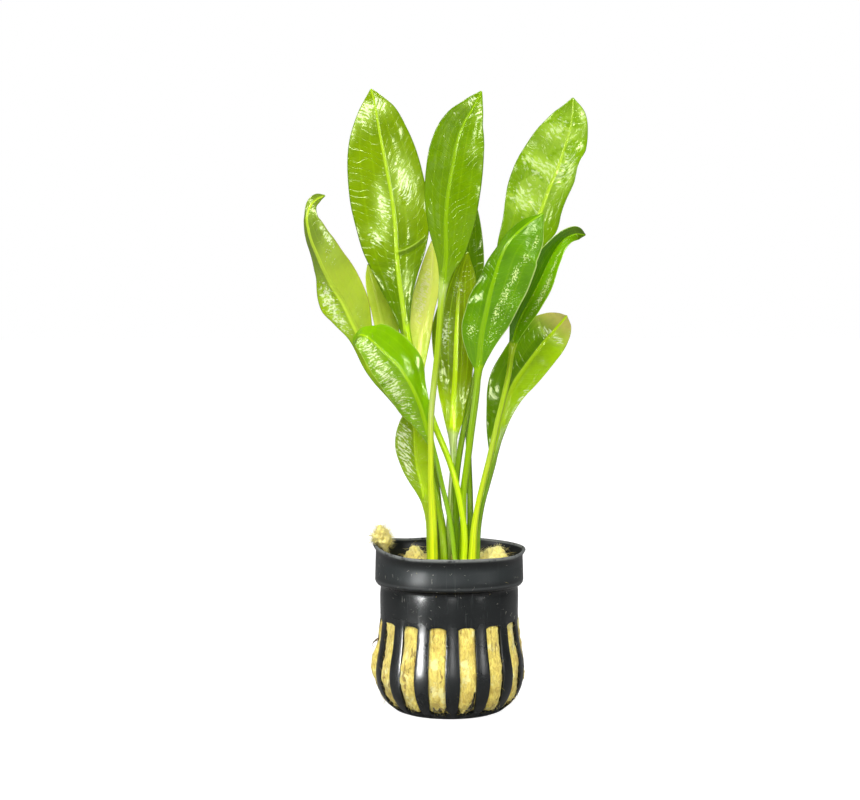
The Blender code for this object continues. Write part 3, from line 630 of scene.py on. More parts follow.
def grow_leaf(name, node, finish, stalk, radius, blade, left_fold=0, right_fold=0,
              left_curl=0, right_curl=0, facing=(0, -1, 0), quilt=(0.12, 0.12), ladder=2.4,
              slant=(0.45, 0.8), wave=(0.25, 17.0), crumple=0.25, wet=(), lined=(), moist=(),
              creases=(), seed=1):
    foot, top = radius
    rows = [(*point, *[foot + (top - foot) * min(index / 2, 1)] * 3)
            for index, point in enumerate(stalk)]
    rows += [(*row, top * (1 - 0.75 * index / (len(blade) - 1))) for index, row in enumerate(blade)]
    lengths, row_at = smooth_route(rows)
    start, end = lengths[len(stalk)], lengths[-1]
    stalk_rings, blade_rings = round(start / STALK_STEP), round((end - start) / BLADE_STEP)
    stops = [start * index / stalk_rings for index in range(stalk_rings)]
    stops += [start + (end - start) * index / blade_rings for index in range(blade_rings + 1)]
    rings = []
    for stop in stops:
        ahead = Vector(row_at(min(stop + 1, end))[:3])
        behind = Vector(row_at(max(stop - 1, 0))[:3])
        tangent = (ahead - behind).normalized() if stop else Vector((0, 0, 1))
        sideways = tangent.cross(Vector(facing)).normalized()
        rings.append((row_at(stop), sideways, sideways.cross(tangent).normalized(), stop - start,
                      max(0, (stop - start) / (end - start))))
    widest = max(row[3] + row[4] for row in blade)
    half_round = 2 * round(widest / POINT_GAP / 2)
    bm = bmesh.new()
    bmesh.ops.create_cone(bm, cap_ends=True, segments=2 * half_round, radius1=1, radius2=1, depth=1)
    upright = [edge for edge in bm.edges if abs(edge.verts[0].co.z - edge.verts[1].co.z) > 0.5]
    bmesh.ops.subdivide_edges(bm, edges=upright, cuts=len(rings) - 2, use_grid_fill=True)
    layers = {measure: bm.verts.layers.float.new(measure) for measure in MEASURES}
    for point in bm.verts:
        turn = math.atan2(point.co.y, point.co.x) % math.tau
        index = round(turn / math.tau * 2 * half_round) % (2 * half_round)
        row, sideways, normal, up, share = rings[round((point.co.z + 0.5) * (len(rings) - 1))]
        x, y, z, left, right, rib = row
        upper = index <= half_round
        level = 1 - 2 * index / half_round if upper else 2 * index / half_round - 3
        across = level - 0.5 * math.sin(math.tau * level) / math.tau
        side = 1 if across >= 0 else -1
        width = max(right if side > 0 else left, LEAST_HALF_WIDTH)
        part, out = abs(across), abs(across) * width
        opened = ramp(width, rib, BLADE_OPENS * rib)
        fold = knot_value(right_fold if side > 0 else left_fold, share)
        curl = knot_value(right_curl if side > 0 else left_curl, share)
        flat, lift, lean = folded(out, fold, curl, width)
        thick = BLADE_THICKNESS / 2 * min(1, 0.35 + width / 3) * math.sqrt(max(0, 1 - part ** 6))
        damp, marked = zone_sum(wet, share, across), zone_sum(lined, share, across)
        jitter = noise.noise(Vector((side * out / 5, up / 7, seed))) * 0.8
        rung = (up - slant[side > 0] * out) / ladder + jitter
        fade = ramp(share, 0.01, 0.12) * (1 - ramp(share, 0.93, 1))
        spot = Vector((side * out, up, seed))
        patchy = ramp(noise.noise(spot / 7 + Vector((0, 0, 9))), -0.1, 0.35)
        swell = (quilted(part, rung, side, seed) * quilt[side > 0]
                 * (0.02 + 0.07 * patchy + 1.7 * damp))
        swell += crumple * noise.noise(spot / 7.5) * part + 0.05 * noise.noise(spot / 1.5)
        swell += WRINKLE * damp * noise.noise(Vector((side * out / 3.6, rung * ladder / 1.9, seed)))
        swell += wave[0] * part ** 1.6 * math.sin(math.tau * up / wave[1] + 1.7 * side + seed)
        swell -= 0.05 * sum(math.exp(-((part - vein) * width / 0.4) ** 2)
                            for vein in SIDE_VEINS[1:3])
        crease = crease_height(creases, side, out, up)
        swell = swell * fade + crease
        if upper:
            depth = thick + swell - 0.25 * rib * math.exp(-(out / (0.45 * rib)) ** 2)
            depth += 0.16 * rib * math.exp(-((out - 1.15 * rib) / (0.5 * rib)) ** 2)
        else:
            depth = swell - thick - KEEL * rib * math.exp(-(out / (0.75 * rib)) ** 2)
        flat -= depth * math.sin(lean) * min(1, out)
        lift += depth * math.cos(lean)
        theta = math.pi * index / half_round
        ridge = 1 + 0.03 * math.cos(7 * theta) + 0.05 * noise.noise(Vector((theta, up / 6, seed)))
        flat = side * flat * opened + (1 - opened) * width * math.cos(theta) * ridge
        lift = lift * opened + (1 - opened) * rib * math.sin(theta) * ridge
        point.co = Vector((x, y, z)) + sideways * flat + normal * lift
        damp = max(damp, *(strength * math.exp(-((up - at) / reach) ** 2) * (1 - 0.7 * opened)
                           for at, reach, strength in moist), 0)
        values = (across, side * out, up, share, 0 if upper else 1, rung, damp, marked, opened, rib,
                  crease)
        for measure, value in zip(MEASURES, values):
            point[layers[measure]] = value
    bmesh.ops.recalc_face_normals(bm, faces=bm.faces)
    return fit_piece(name, bm, finish, [node])


def leaf_pattern():
    """Masks of the veins, the margin and the mottling of a leaf, read from its measures."""
    group = bpy.data.node_groups.new("leaf pattern", "ShaderNodeTree")
    face = group.interface
    for title, value in (("Mottle Scale", 120.0), ("Speckle Scale", 1500.0), ("Streak Pitch", 2.6)):
        face.new_socket(title, in_out="INPUT", socket_type="NodeSocketFloat").default_value = value
    titles = ("Midrib", "Side Veins", "Cross Veins", "Margin", "Mottle", "Speckle", "Streaks",
              "Stem Lines", "Right Half")
    for title in titles:
        face.new_socket(title, in_out="OUTPUT", socket_type="NodeSocketFloat")
    given = group.nodes.new("NodeGroupInput")
    result = group.nodes.new("NodeGroupOutput")
    read = {measure: add_node(group, "ShaderNodeAttribute", attribute_name=measure).outputs[2]
            for measure in MEASURES}
    out = maths(group, "ABSOLUTE", read["out"])
    part = maths(group, "ABSOLUTE", read["across"])
    blade = mapped(group, read["opened"], 0.35, 0.95)
    close_to_rib = maths(group, "DIVIDE", out, read["rib"])
    rib = maths(group, "MULTIPLY", mapped(group, close_to_rib, 1.1, 0.65), blade)
    side_veins = 0.0
    for vein in SIDE_VEINS[1:3]:
        from_vein = maths(group, "ABSOLUTE", maths(group, "SUBTRACT", part, vein))
        line = mapped(group, from_vein, 0.035, 0.010)
        side_veins = maths(group, "ADD", line, side_veins)
    side_veins = maths(group, "MULTIPLY", side_veins, blade)
    rung = maths(group, "PINGPONG", read["ladder"], 0.5)
    rungs = maths(group, "MULTIPLY", mapped(group, rung, 0.10, 0.02), blade)
    along = add_node(group, "ShaderNodeCombineXYZ", {
        0: maths(group, "MULTIPLY", read["out"], 0.42),
        1: maths(group, "MULTIPLY", read["ladder"], given.outputs[2]),
        2: maths(group, "MULTIPLY", read["under"], 7.0)}).outputs[0]
    streaks = noise_of(group, along, 1.0, 2.5, 0.6)
    stem = add_node(group, "ShaderNodeCombineXYZ", {
        0: maths(group, "MULTIPLY", read["across"], 7.0),
        1: maths(group, "MULTIPLY", read["up"], 0.03),
        2: maths(group, "MULTIPLY", read["under"], 5.0)}).outputs[0]
    stem_lines = noise_of(group, stem, 1.0, 3.0, 0.6)
    place = add_node(group, "ShaderNodeTexCoord").outputs["Object"]
    mottle = noise_of(group, place, given.outputs[0], 5, 0.6)
    speckle = noise_of(group, place, given.outputs[1], 3, 0.6)
    margin = maths(group, "MULTIPLY", mapped(group, part, 0.95, 0.985), blade)
    right = mapped(group, read["across"], -0.04, 0.04)
    masks = (rib, side_veins, rungs, margin, mottle, speckle, streaks, stem_lines, right)
    for title, value in zip(titles, masks):
        group.links.new(value, result.inputs[title])
    return group


leaf_pattern_group = leaf_pattern()
DEEP_GREEN = (0.02, 0.085, 0.0)
GLINT_WHITE = (0.80, 0.90, 0.52)          # painted glints, whitish, on the wettest skin
PAINTED_SHEEN = (0.48, 0.68, 0.08)          # painted sheen, a paler green, round them
GREEN_GLINT = (0.80, 0.96, 0.36)    # painted glints where the leaf's green shows through


def leaf_finish(name, left, right, rib, stalk, tip=None, foot=None, shade=0.2, veins=0.12,
                rungs=0.03, margin=(0.50, 0.70, 0.10), edge=0.35, glint_paint=0.85, gloss=0.12,
                grain=0.35, speckle_scale=1300.0, streak_pitch=3.2, relief=0.9, dots=0.3,
                cloud=0.3, mottle=120.0, glint_tint=GLINT_WHITE, rib_end=1.0, tip_from=0.72):
    """Wet leaf green: the halves' own greens, mottled, with paler veins and a matt underside, and
    painted glints, sheen, highlights and shade.
    """
    finish, tree, shader = new_material(name, IOR=1.45, Specular_IOR_Level=0.75,
                                        Specular_Tint=(0.95, 1, 0.6, 1),
                                        Subsurface_Weight=0.12, Subsurface_Scale=0.001)
    shader.inputs["Subsurface Radius"].default_value = (0.6, 1.0, 0.12)
    pattern = add_node(tree, "ShaderNodeGroup", node_tree=leaf_pattern_group)
    for index, value in enumerate((mottle, speckle_scale, streak_pitch)):
        pattern.inputs[index].default_value = value
    mask = pattern.outputs
    read = {measure: add_node(tree, "ShaderNodeAttribute", attribute_name=measure).outputs[2]
            for measure in ("across", "share", "under", "opened", "up", "wet", "lined", "crease")}
    green = mixed(tree, mask["Right Half"], left, right)
    if foot:
        green = mixed(tree, mapped(tree, read["share"], 0.42, 0.12), green, foot)
    if tip:
        green = mixed(tree, mapped(tree, read["share"], tip_from, tip_from + 0.23), green, tip)
    green = mixed(tree, mapped(tree, mask["Mottle"], 0.42, 0.70, 0, shade), green, DEEP_GREEN)
    paler = tuple(min(1, 0.45 * value + 0.6 * tint) for value, tint in zip(left, (0.5, 0.8, 0.01)))
    green = mixed(tree, mapped(tree, mask["Mottle"], 0.42, 0.25, 0, 0.15), green, paler)
    # Cross veins are painted paler everywhere, and more in the lined zones, where the paler lines
    # are painted highlights.
    lines = maths(tree, "MULTIPLY_ADD", read["lined"], 0.3, rungs)
    green = mixed(tree, maths(tree, "MULTIPLY", mask["Cross Veins"], lines), green, paler)
    green = mixed(tree, maths(tree, "MULTIPLY", mask["Side Veins"], veins), green, paler)
    # Raised creases are painted paler, a painted highlight; sunken creases are painted darker,
    # painted shade.
    green = mixed(tree, mapped(tree, read["crease"], 0.15, 0.6, 0, 0.5), green, PAINTED_SHEEN)
    green = mixed(tree, mapped(tree, read["crease"], -0.1, -0.5, 0, 0.5), green, DEEP_GREEN)
    # Soft pale patches are painted in the wet zones: painted sheen.
    sheen_patches = maths(tree, "MULTIPLY", mapped(tree, mask["Mottle"], 0.43, 0.52, 0.1), read["wet"])
    green = mixed(tree, maths(tree, "MULTIPLY", sheen_patches, cloud), green, PAINTED_SHEEN)
    # Whitish specks and streaks in the wet zones: painted glints.
    glint_and_relief_mask = maths(tree, "MULTIPLY_ADD", mask["Streaks"], 1 - dots,
                 maths(tree, "MULTIPLY", mask["Speckle"], dots))
    glint_specks = mapped(tree, maths(tree, "MULTIPLY_ADD", read["wet"], 0.23, glint_and_relief_mask), 0.68, 0.78)
    green = mixed(tree, maths(tree, "MULTIPLY", glint_specks, glint_paint), green, glint_tint)
    green = mixed(tree, maths(tree, "MULTIPLY", mask["Margin"], edge), green, margin)
    under = tuple(0.8 * value + 0.2 * tint for value, tint in zip(left, (0.5, 0.6, 0.22)))
    green = mixed(tree, maths(tree, "MULTIPLY", read["under"], 0.7), green, under)
    rib_share = mapped(tree, read["share"], 0.5, 0.9, 1.0, rib_end)
    green = mixed(tree, maths(tree, "MULTIPLY", mask["Midrib"], rib_share), green, rib)
    closed = mapped(tree, read["opened"], 0.7, 0.15)
    low, high = stalk
    stem = mixed(tree, mapped(tree, read["up"], -85, -8), low, high)
    darker = tuple(part * value for part, value in zip((0.48, 0.64, 0.5), low))
    stem = mixed(tree, mapped(tree, mask["Stem Lines"], 0.46, 0.62, 0, 0.9), stem, darker)
    # The stalk's round sides are painted darker: painted shade.
    flank_shade = mapped(tree, maths(tree, "ABSOLUTE", read["across"]), 0.4, 0.95, 0, 0.6)
    stem = mixed(tree, flank_shade, stem, darker)
    # Whitish streaks along the wet parts of the stalks: painted glints.
    glint_and_relief_mask = maths(tree, "MULTIPLY", mapped(tree, mask["Stem Lines"], 0.56, 0.42), read["wet"])
    stem = mixed(tree, maths(tree, "MULTIPLY", glint_and_relief_mask, 0.6), stem, GLINT_WHITE)
    green = mixed(tree, closed, green, stem)
    tree.links.new(green, shader.inputs["Base Color"])
    dry = maths(tree, "MULTIPLY_ADD", read["under"], 0.2, gloss)
    dry = maths(tree, "ADD", dry, mapped(tree, mask["Mottle"], 0.3, 0.7, 0, 0.02))
    matt = maths(tree, "MULTIPLY_ADD", read["wet"], -0.03, dry)
    tree.links.new(matt, shader.inputs["Roughness"])
    glint_and_relief_mask = maths(tree, "MULTIPLY_ADD", read["wet"], 0.95, 0.05)
    skin = maths(tree, "MULTIPLY_ADD", mask["Speckle"], grain, mask["Streaks"])
    skin = maths(tree, "ADD", skin, -0.5 - 0.5 * grain)
    bump = add_node(tree, "ShaderNodeBump", {"Height": maths(tree, "MULTIPLY", skin, glint_and_relief_mask),
                                             "Distance": 0.00022, "Strength": relief})
    raised = maths(tree, "MULTIPLY", mask["Cross Veins"], maths(tree, "MULTIPLY_ADD", read["lined"],
                                                                 2.0, 0.3))
    bump = add_node(tree, "ShaderNodeBump", {"Height": raised, "Distance": 0.00012, "Strength": 0.8,
                                             "Normal": bump.outputs[0]})
    grooves = maths(tree, "MULTIPLY", mask["Stem Lines"], closed)
    bump = add_node(tree, "ShaderNodeBump", {"Height": grooves, "Distance": 0.0004, "Strength": 0.6,
                                             "Normal": bump.outputs[0]})
    tree.links.new(bump.outputs[0], shader.inputs["Normal"])
    return finish


# Tall leaves -------------------------------------------------------------------------------
# The three leaves that stand over the rest. They are full grown, yellow green and glossy, and
# the right one has rolled its right margin under.

bright_rib = (0.42, 0.62, 0.02)
bright_stalk = ((0.84, 0.98, 0.02), (0.34, 0.50, 0.008))
green_stalk = ((0.15, 0.30, 0.0005), (0.28, 0.46, 0.008))
# The tall leaves' darker margins are painted shade along their edges.
grow_leaf(
    "tall_leaf_left", "leaf_left_tall",
    leaf_finish("tall left leaf", (0.178, 0.292, 0.0005), (0.178, 0.292, 0.0005), bright_rib,
                ((0.74, 0.98, 0.01), (0.50, 0.78, 0.01)),
                foot=(0.10, 0.20, 0.001), shade=0.35, mottle=75.0, cloud=0.55,
                margin=(0.07, 0.15, 0.0), edge=0.6),
    stalk=((4.5, -5, STALK_FOOT), (4.9, -5.5, 58), (3.3, -6.2, 70), (0, -6, 82), (-4.5, -5, 93),
           (-8.2, -3, 103.5), (-12, -0.5, 116)),
    radius=(1.1, 1.0),
    blade=((-14, 1, 124, 2, 1.4), (-15, 2.5, 131, 3.8, 2.6), (-16.4, 4.5, 141, 7.4, 6.2),
           (-17.3, 6.5, 150.2, 11, 10), (-17.9, 8.5, 160.2, 13.3, 11.9),
           (-19.1, 10.5, 169.3, 13.9, 11.9), (-21.2, 12.5, 180.5, 12.7, 11.1),
           (-22.8, 14, 188.7, 10.4, 9.5), (-24.2, 15, 196.8, 6.3, 6.5),
           (-25.2, 15.6, 201.8, 2.6, 2.4), (-25.9, 16, 204.2, 0.3, 0.3)),
    left_fold=8, right_fold=12, quilt=(0.14, 0.14), ladder=2.9, slant=(0.55, 0.95),
    wet=((0.91, -0.6, 0.06, 0.45, 1.3), (0.935, 0.35, 0.045, 0.5, 1.3),
         (0.83, -0.95, 0.05, 0.10, 0.7), (0.60, 0.42, 0.11, 0.34, 1.1),
         (0.51, -0.25, 0.11, 0.18, 1.15), (0.385, -0.55, 0.05, 0.24, 1.0),
         (0.49, 0.92, 0.03, 0.1, 1.0), (0.19, 0.4, 0.07, 0.3, 0.75),
         (0.24, -0.35, 0.02, 0.2, 0.8)),
    lined=((0.69, -0.35, 0.05, 0.2, 1.0), (0.75, 0.3, 0.05, 0.13, 0.8)),
    creases=((26.7, 1, 9.8, 4.2, 0.6, 0.45), (25.4, 1, 9.8, 4.2, -0.35, 0.7),
             (22.0, -1, 8.0, 1.0, -0.25, 0.9)),
    crumple=0.35, seed=1)
grow_leaf(
    "tall_leaf_front", "leaf_front_tall",
    leaf_finish("tall front leaf", (0.138, 0.27, 0.0005), (0.155, 0.30, 0.0005),
    (0.26, 0.46, 0.004),
                bright_stalk, shade=0.3, mottle=75.0, margin=(0.07, 0.15, 0.0), edge=0.6),
    stalk=((-5.3, -7, STALK_FOOT), (-5.5, -9.6, 64), (-6, -12, 78), (-6, -15, 97),
           (-5.2, -16.6, 106),
           (-3.9, -18.6, 118), (-3.2, -20, 128)),
    radius=(1.7, 1.0),
    blade=((-2.4, -21, 136.9, 1.3, 1.3), (-1.8, -21.6, 142.9, 1.9, 2.8),
           (-1.3, -22.2, 148.8, 3.4, 6), (-1.4, -23, 157.7, 5.8, 9.1),
           (-0.8, -23.6, 166.6, 7.4, 10.1), (0.8, -24, 176.5, 8.4, 9.7),
           (2.4, -24.2, 184.4, 7.8, 8.6), (4.3, -24, 189.4, 6.4, 6.8),
           (6.6, -23.8, 193.3, 4.3, 4.3), (8.4, -23.4, 196.5, 2.4, 2), (9.7, -23, 199.2, 0.3, 0.3)),
    left_fold=14, right_fold=10, quilt=(0.08, 0.08), ladder=2.6, slant=(0.9, 0.9),
    wet=((0.93, -0.5, 0.045, 0.4, 1.0), (0.91, 0.6, 0.06, 0.35, 1.0),
         (0.71, 0.62, 0.05, 0.28, 0.7), (0.84, -0.6, 0.03, 0.25, 0.4),
         (0.63, 0.92, 0.03, 0.08, 0.9)),
    lined=((0.73, -0.3, 0.05, 0.18, 1.0),),
    moist=((2, 6, 1.0), (-36, 9, 0.9)), crumple=0.45, seed=2)
grow_leaf(
    "tall_leaf_right", "leaf_right_tall",
    leaf_finish("tall right leaf", (0.155, 0.30, 0.001),
    (0.165, 0.32, 0.001), bright_rib, green_stalk,
                margin=(0.10, 0.2, 0.0), edge=0.5, gloss=0.16, glint_paint=0.4, cloud=0.6, mottle=110.0,
                relief=1.0, rib_end=0.5),
    stalk=((2.9, 0.5, STALK_FOOT), (2.2, 2.4, 72), (3.4, 3.6, 84), (6, 5.6, 97), (9, 7.8, 110),
           (13, 10.4, 125)),
    radius=(1.1, 1.0),
    blade=((15.5, 11.8, 133, 2.5, 2.5), (18.6, 13, 139.5, 4.8, 5), (23.8, 15, 150.1, 8.6, 7.6),
           (28, 16.4, 157.8, 11.2, 9.1), (31, 17.6, 164.9, 13, 9.6), (33.9, 18.8, 172.6, 13.8, 9.6),
           (36.4, 19.8, 178.2, 13.5, 9.1), (38.4, 20.8, 184.3, 12, 7.6),
           (40.5, 21.8, 191, 9.5, 6.3), (41.6, 22.8, 197.2, 5.7, 4.3),
           (41.7, 23.4, 202.1, 0.3, 0.3)),
    left_fold=6, right_fold=((0, 10), (0.35, 30), (0.65, 40), (0.85, 5)),
    right_curl=((0, 0), (0.35, 110), (0.68, 110), (0.82, 0)), quilt=(0.18, 0.14), ladder=3.4,
    wet=((0.84, -0.35, 0.08, 0.7, 0.9), (0.645, -0.5, 0.07, 0.8, 1.0),
         (0.48, -0.5, 0.08, 0.7, 1.0), (0.70, 0.45, 0.12, 0.45, 0.9), (0.93, 0.7, 0.05, 0.3, 0.9)),
    wave=(0.5, 15.0), crumple=0.7, seed=3)


# Right-hand leaves -------------------------------------------------------------------------
# Three leaves that lean to the right: a dark one in front, a narrow one behind it that has
# folded along its midrib, and a low broad one with its olive tip bent back.

grow_leaf(
    "dark_leaf_front", "leaf_right_front",
    leaf_finish("dark front leaf", (0.11, 0.28, 0.0005), (0.11, 0.295, 0.0005), (0.22, 0.44, 0.002),
                ((0.46, 0.68, 0.002), (0.30, 0.52, 0.001)), grain=0.9, speckle_scale=2100.0,
                edge=0.7,
                dots=0.8, cloud=0.0, shade=0.3, glint_tint=GREEN_GLINT, gloss=0.15,
                margin=(0.75, 0.95, 0.30)),
    stalk=((4.4, -2, STALK_FOOT), (4.5, -2.8, 61), (4.6, -3.6, 72), (5.7, -5.2, 81), (7, -7.6, 92),
           (8.5, -10.2, 104)),
    radius=(1.15, 1.1),
    blade=((9.2, -12, 111.6, 1.4, 1.2), (9.6, -13.2, 117, 4.2, 3.2),
           (10.3, -14.4, 124.1, 6.8, 6.6), (11.5, -15.4, 130, 6.8, 8.8),
           (12.7, -16.4, 136, 6.6, 10.4), (14, -17.2, 141, 6.2, 11.4),
           (15.7, -18, 146.9, 5.8, 11.8), (18, -18.8, 151.8, 5, 11.4),
           (21.3, -19.2, 155.5, 4.4, 10), (25.4, -19.2, 159, 3, 6.8), (29.4, -19, 161.5, 0.3, 0.3)),
    left_fold=((0, 0), (0.35, -15), (0.55, -50), (0.7, -62)), right_fold=6, quilt=(0.06, 0.08),
    ladder=1.9,
    wet=((0.87, 0.68, 0.06, 0.18, 1.0), (0.73, 0.66, 0.06, 0.15, 1.0),
         (0.60, 0.52, 0.07, 0.12, 1.0),
         (0.47, 0.42, 0.07, 0.12, 1.0), (0.34, 0.35, 0.07, 0.15, 0.9),
         (0.42, 0.75, 0.16, 0.25, 0.55),
         (0.22, -0.5, 0.06, 0.35, 0.9), (0.2, 0.5, 0.08, 0.35, 0.7)),
    moist=((-12, 8, 0.25),), seed=4)
grow_leaf(
    "folded_leaf", "leaf_right_folded",
    # The left half's darker green is painted shade on the half turned away; the right half is
    # painted lighter to offset the dark front leaf's shadow.
    leaf_finish("folded leaf", (0.06, 0.19, 0.0005), (0.18, 0.44, 0.0005), (0.24, 0.48, 0.002),
                bright_stalk, tip=(0.075, 0.16, 0.001), grain=0.9, speckle_scale=2100.0, edge=0.6,
                dots=0.75, cloud=0.2, glint_tint=GREEN_GLINT),
    stalk=((7.2, -3.6, STALK_FOOT), (8, -4, 59.5), (9.3, -4.5, 68), (11.2, -4.5, 76),
           (13.2, -4.5, 84), (15.4, -4.5, 94), (17.7, -4.5, 103.5), (19.3, -4, 111)),
    radius=(1.45, 0.9),
    blade=((20.4, -3.5, 119, 1.2, 1.2), (22.6, -2.7, 127, 4.2, 4), (26, -2, 133.6, 7.2, 5.4),
           (29.4, -1, 140.4, 7.6, 5.8), (32.4, -0.3, 146.8, 6.6, 4.8), (35, 0.3, 151.3, 4.8, 3.6),
           (38, 1.2, 154.4, 3.4, 2.8), (41.4, 3, 155.8, 2.6, 2.2), (44.6, 6, 155.6, 0.3, 0.3)),
    left_fold=((0, 35), (0.7, 45), (1, 20)), right_fold=((0, 35), (0.7, 45), (1, 20)),
    quilt=(0.06, 0.06), ladder=1.8, wave=(0.15, 13.0), crumple=0.15,
    wet=((0.66, 0.6, 0.1, 0.22, 0.8), (0.5, 0.6, 0.1, 0.22, 1.0), (0.36, 0.6, 0.1, 0.25, 1.0),
         (0.2, 0.6, 0.08, 0.25, 0.7)),
    moist=((-30, 14, 0.2),), seed=5)
grow_leaf(
    "low_leaf_right", "leaf_right_low",
    leaf_finish("low right leaf", (0.12, 0.27, 0.0005), (0.38, 0.63, 0.006), (0.46, 0.70, 0.01),
                ((0.22, 0.42, 0.008), (0.30, 0.50, 0.01)), tip=(0.50, 0.46, 0.11), edge=0.3,
                cloud=0.5,
                shade=0.6, mottle=60.0),
    stalk=((8.9, -0.5, STALK_FOOT), (9.3, 0.4, 59), (10.4, 1, 66.5), (12.4, 2, 74), (14.1, 3, 80)),
    radius=(1.1, 1.1),
    blade=((14.8, 3.6, 83.5, 1.8, 1.2), (16.6, 4.8, 90, 4.4, 1.4), (18.5, 6.2, 97.5, 6.4, 2.8),
           (21.2, 8.2, 106, 8.4, 5.6), (25.5, 10, 112.4, 9.1, 6.7), (30.1, 12, 118.4, 9.3, 7),
           (33.3, 13.6, 122.1, 8.7, 6.7), (36.4, 16.5, 125.5, 6.3, 5.3),
           (38.6, 19.5, 127.7, 3.4, 3.2), (39.8, 22, 128.9, 0.3, 0.3)),
    right_fold=5, quilt=(0.16, 0.22), ladder=2.0,
    wet=((0.80, 0.45, 0.03, 0.6, 1.0), (0.78, -0.3, 0.03, 0.3, 0.8), (0.63, 0.5, 0.02, 0.2, 0.9),
         (0.3, 0.85, 0.22, 0.2, 1.0), (0.12, 0.3, 0.08, 0.4, 0.8), (0.9, 0.9, 0.05, 0.15, 0.8)),
    creases=((44.0, 1, 6.0, 1.5, 0.6, 0.8), (44.0, -1, 6.0, 2.0, 0.5, 0.8)), seed=6)


# Left-hand leaves --------------------------------------------------------------------------
# The curled leaf at the far left, the low leaf that arches over towards the front, and the
# small wrinkled one under it.

grow_leaf(
    "curled_leaf", "leaf_left_curled",
    leaf_finish("curled leaf", (0.27, 0.43, 0.002), (0.40, 0.53, 0.03), (0.50, 0.68, 0.04),
                ((0.33, 0.50, 0.001), (0.36, 0.58, 0.015)), tip=(0.17, 0.26, 0.02),
                margin=(0.36, 0.24, 0.05), edge=0.4, cloud=0.6, dots=0.5, tip_from=0.56),
    stalk=((-1.4, -2.5, STALK_FOOT), (-2.2, -1.2, 59), (-3.7, -0.4, 67), (-6, 0.4, 77), (-9, 1, 87),
           (-12.4, 1.3, 93.7), (-16.7, 1.2, 100)),
    radius=(1.3, 1.2),
    blade=((-20.4, 0.8, 104.5, 1.3, 1.3), (-23.4, 0.4, 108.2, 1.6, 1.6), (-26, 0, 113, 2.2, 2.2),
           (-29.4, -1.4, 122.8, 3.7, 4.8), (-32, -2.4, 128.4, 5.8, 7.1),
           (-34.5, -3.4, 133.6, 8, 8.4), (-37.6, -4.4, 138.4, 8, 9.2),
           (-40.4, -5.4, 143.5, 6.4, 9), (-42.6, -6.2, 148.6, 4.6, 7.9),
           (-44.4, -6.8, 152.9, 3.2, 6.9), (-45.4, -7.2, 156.8, 2.4, 5.6),
           (-45.9, -7, 160.8, 1.8, 4), (-44.6, -5.5, 164.8, 1.8, 2),
           (-42.5, -3.5, 167, 1.7, 1.3), (-40.4, -1.5, 168, 0.3, 0.3)),
    left_fold=((0, 0), (0.4, -10), (0.6, -60), (0.85, -60), (0.95, 0)), right_fold=8,
    quilt=(0.12, 0.08), ladder=2.2, crumple=0.3,
    wet=((0.50, -0.5, 0.08, 0.4, 1.2), (0.36, -0.6, 0.07, 0.4, 1.1), (0.75, 0.8, 0.08, 0.2, 1.2),
         (0.66, 0.45, 0.06, 0.3, 0.6), (0.93, 0, 0.08, 0.9, 0.6), (0.35, 0.4, 0.1, 0.3, 0.45)),
         seed=7)
grow_leaf(
    "low_leaf_left", "leaf_left_front",
    leaf_finish("low left leaf", (0.17, 0.36, 0.001), (0.20, 0.44, 0.001), (0.34, 0.58, 0.004),
                ((0.44, 0.66, 0.008), (0.30, 0.58, 0.012)), edge=0.7, dots=0.35, cloud=0.3,
                speckle_scale=1500.0, streak_pitch=3.4),
    stalk=((2, -6, STALK_FOOT), (0.8, -6.6, 58.5), (-0.6, -7.4, 67), (-2.3, -8.3, 74),
           (-4.2, -9.6, 82.5)),
    radius=(0.8, 0.8),
    blade=((-5.6, -10.6, 87.5, 1.2, 0.9), (-7.6, -12, 93.8, 3.2, 2), (-9.4, -13.6, 100, 6.6, 3.4),
           (-11.2, -14.8, 104.6, 7.8, 5), (-13.5, -16.2, 109, 8.6, 8),
           (-16, -17.4, 112.8, 8.9, 9.4), (-19.4, -18.8, 116.4, 8.4, 10),
           (-23.1, -20, 119.9, 6.9, 9.2), (-26.1, -20.6, 122.5, 5.2, 6.6),
           (-28.4, -18.6, 123.1, 3.8, 4.6), (-29.9, -15.5, 121.6, 2, 2.2),
           (-30.5, -13, 119.6, 0.3, 0.3)),
    right_fold=-12, facing=(0, -0.85, 0.5), quilt=(0.10, 0.04), ladder=1.8, crumple=0.2,
    wet=((0.5, -0.6, 0.5, 0.45, 1.0), (0.78, -0.3, 0.09, 0.3, 0.5), (0.5, 0.28, 0.03, 0.1, 1.0)),
    seed=8)
grow_leaf(
    "small_leaf_left", "leaf_left_low",
    leaf_finish("small left leaf", (0.24, 0.39, 0.002), (0.40, 0.62, 0.003), (0.48, 0.70, 0.01),
                bright_stalk, edge=0.6, relief=1.3, cloud=0.3, glint_paint=1.0, streak_pitch=2.4),
    stalk=((-6.3, -3, STALK_FOOT), (-6.4, -3, 56), (-6.7, -3, 63)),
    radius=(1.1, 1.1),
    blade=((-7.4, -3, 68, 1.6, 1.4), (-8.2, -3, 72, 2.6, 2), (-9.2, -3, 76, 4, 2.9),
           (-10.4, -3, 81, 5.4, 4), (-11, -3, 86.5, 6.6, 4.2), (-11.3, -2.6, 92, 6, 3.8),
           (-11.9, -2, 96, 4.2, 2.8), (-12.6, -1.6, 99, 1.6, 1.4), (-13, -1.4, 100.5, 0.3, 0.3)),
    left_fold=4, right_fold=10, quilt=(0.40, 0.10), ladder=1.7, slant=(1.1, 0.8),
    lined=((0.55, -0.6, 0.4, 0.5, 1.0),),
    wet=((0.55, -0.6, 0.35, 0.45, 1.25),), seed=9)


# Back leaves -------------------------------------------------------------------------------
# Four leaves that grow behind the others: two thin pale ones, an olive one in the middle and
# a dark upright one.

